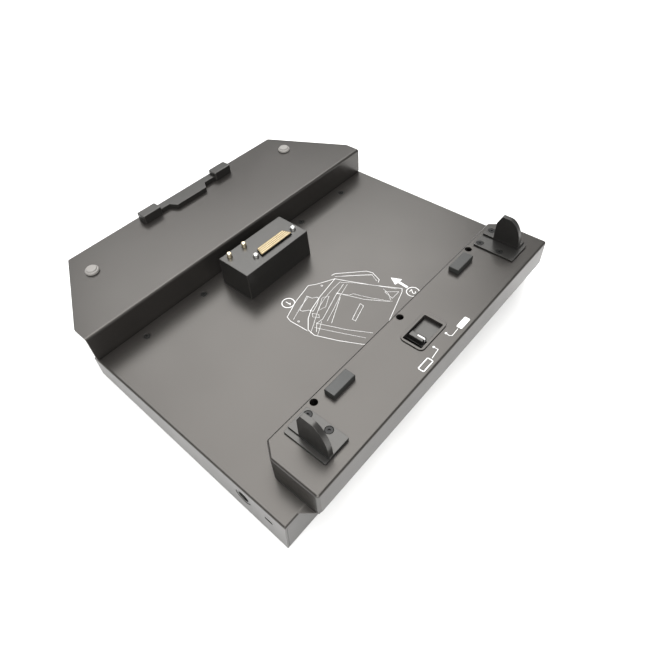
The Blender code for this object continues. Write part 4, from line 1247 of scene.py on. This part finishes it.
def selector_pointer():
    """White line along the slide's tab, round its edge and down its rear face."""
    centre = Vector((TAB_Y[1] - TAB_BEVEL, COLLAR_BOTTOM - GAP + TAB_RISE - TAB_BEVEL))
    reach = TAB_BEVEL + INK_LIFT
    turns = [math.pi / 2 * step / POINTER_STEPS for step in range(POINTER_STEPS + 1)]
    line = [centre + reach * Vector((math.sin(turn), math.cos(turn))) for turn in turns]
    line = [Vector((POINTER_START, line[0].y)), *line, line[-1] - Vector((0, POINTER_DROP))]
    sides = (POINTER_X - POINTER_HALF, POINTER_X + POINTER_HALF)
    work = bmesh.new()
    rows = [[work.verts.new((x, *point)) for x in sides] for point in line]
    for (a, b), (c, d) in zip(rows, rows[1:]):
        work.faces.new((a, b, d, c))
    print_piece("selector_pointer", work, "selector")


def print_piece(name, work, body="station"):
    bmesh.ops.recalc_face_normals(work, faces=work.faces)
    add(name, finished(work), "ink", body=body, stands_for=False)


# ---------------- fine detail


def contact_rows():
    """Four rows of gold contacts on the contact field, fewer where the field is shorter."""
    high = BLOCK_TOP + PLUG_RISE + 0.00035
    contacts = []
    for offset in spread_out(4, CONTACT_ROW):
        y = around(PLUG_Y + offset, CONTACT_LENGTH / 2)
        taper = PLUG_TAPER * (0.5 - offset / PLUG_WIDTH)
        count = int((PLUG_LENGTH - 2 * taper - CONTACT_PITCH) / CONTACT_PITCH)
        for middle in spread_out(count, CONTACT_PITCH, PLUG_X):
            x = around(middle, CONTACT_WIDTH / 2)
            contacts.append(block(x, y, (high - 0.0006, high), 0.0001, segments=1))
    detail("contacts", contacts, "contact")


def wires():
    """Contacts inside the network, USB and serial sockets."""
    made = []
    for x in spread_out(8, 0.00102, PORTS["network_socket"][0]):
        height = (PORT_Z + 0.0112, PORT_Z + 0.0115)
        made.append(block(around(x, 0.00022), inwards(0.0110, 0.0030), height))
    for name in ("usb_stack_1", "usb_stack_2"):
        for low in USB_LOWS:
            height = (low + 0.00262, low + 0.00272)
            for x in spread_out(4, 0.0023, PORTS[name][0]):
                made.append(block(around(x, 0.0005), inwards(0.0095, 0.0014), height))
    ends = inwards(0.0045, -0.0015)
    for row, count in ((0.0014, 5), (-0.0014, 4)):
        for x in spread_out(count, 0.00277, PORTS["serial_socket"][0]):
            made.append(cylinder((x, 0, SHELL_MIDDLE + row), 0.0005, *ends, 6, "Y"))
    return made


def socket_detail():
    """Contacts and painted hole shade of the rear sockets, and hexagon posts beside the two shells.
    """
    detail("socket_contacts", wires(), "gold", "level")
    # The video socket's holes are not cut: dark discs on its face paint the shade inside them.
    holes = []
    ends = inwards(-0.0018, -0.00222)
    for row in (0.0020, 0.0, -0.0020):
        for x in spread_out(5, 0.0023, PORTS["video_socket"][0]):
            centre = (x + row * 0.3, 0, SHELL_MIDDLE + row)
            holes.append(cylinder(centre, 0.00055, *ends, 6, "Y"))
    detail("video_hole_shade", holes, "dark", "level")
    posts = []
    face = BASE_REAR + JACK_POST
    for name, reach in (("video_socket", 0.0148), ("serial_socket", 0.0122)):
        for x in around(PORTS[name][0], reach):
            centre = (x, 0, SHELL_MIDDLE)
            posts.append(turned([(0.0026, BASE_REAR), (0.0026, face)], centre, 6, "Y", fine=1))
            posts.append(cylinder(centre, 0.0015, face, face + 0.0002, 6, "Y"))
    detail("jack_posts", posts, "steel", "level")


# ---------------- table, lights and camera


def table():
    work = bmesh.new()
    bmesh.ops.create_grid(work, x_segments=1, y_segments=1, size=TABLE_HALF)
    made = new_object("table_top", finished(work))
    made.data.materials.append(finishes["table"])


def softbox(name, place, size, power):
    data = bpy.data.lights.new(name, "AREA")
    data.shape = "SQUARE"
    data.size = size
    data.energy = power
    made = new_object(name, data)
    made.location = place
    made.rotation_euler = (-Vector(place)).to_track_quat("-Z", "Y").to_euler()


def lights():
    world = bpy.data.worlds.new("white_room")
    world.use_nodes = True
    background = world.node_tree.nodes["Background"]
    background.inputs["Color"].default_value = SKY_COLOUR
    background.inputs["Strength"].default_value = SKY_STRENGTH
    bpy.context.scene.world = world
    for name, (place, size, power) in SOFTBOXES.items():
        softbox(name, place, size, power)
    bpy.context.scene.view_settings.view_transform = "Standard"


def camera():
    data = bpy.data.cameras.new("camera")
    data.lens = CAMERA_LENS
    data.shift_y = CAMERA_SHIFT
    data.clip_start = 0.01
    turn = Matrix.Rotation(CAMERA_AZIMUTH, 4, "Z")
    turn @= Matrix.Rotation(math.pi / 2 - CAMERA_ELEVATION, 4, "X")
    turn @= Matrix.Rotation(CAMERA_ROLL, 4, "Z")
    made = new_object("camera", data)
    made.matrix_world = Matrix.Translation(CAMERA_PLACE) @ turn
    bpy.context.scene.camera = made


# ---------------- assembly


def depth_middle():
    """Half way between the shelf's front edge and the platform's rear face, in the level frame."""
    front = SHELF_FRONT * math.cos(TILT) - SHELF_TOP * math.sin(TILT)
    rear = PLATFORM_REAR * math.cos(TILT) - REAR_SKIRT_BOTTOM * math.sin(TILT)
    return (front + rear) / 2


def hidden_nodes():
    """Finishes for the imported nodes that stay: the boards, the lead and other inner pieces."""
    for name, look in HIDDEN.items():
        node = frame["nodes"][name]
        node.data.materials.clear()
        node.data.materials.append(finishes[look])


def main():
    base_tray()
    bottom_cover()
    cover_screws()
    front_shelf()
    shelf_screws()
    rear_platform()
    guides()
    pads()
    bumpers()
    front_catch()
    rubber_feet()
    connector_block()
    connector_pieces()
    contact_rows()
    selector_bezel()
    selector_slider()
    selector_pointer()
    ports()
    socket_detail()
    power_jack()
    floor_pictogram()
    platform_print()
    settle()
    hidden_nodes()
    table()
    lights()
    camera()


def new_frame(name, height, tilt):
    """An empty that holds pieces in their own coordinates, under the middle of the part."""
    made = new_object(name, None)
    made.location = (0, -depth_middle(), height)
    made.rotation_euler = (tilt, 0, 0)
    return made


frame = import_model()
cutters = bpy.data.collections.new("cutters")
bpy.context.scene.collection.children.link(cutters)
frames["level"] = new_frame("level_frame", 0, 0)
frames["slope"] = new_frame("sloping_frame", FLOOR_HEIGHT, TILT)
finishes.update(make_finishes())
main()
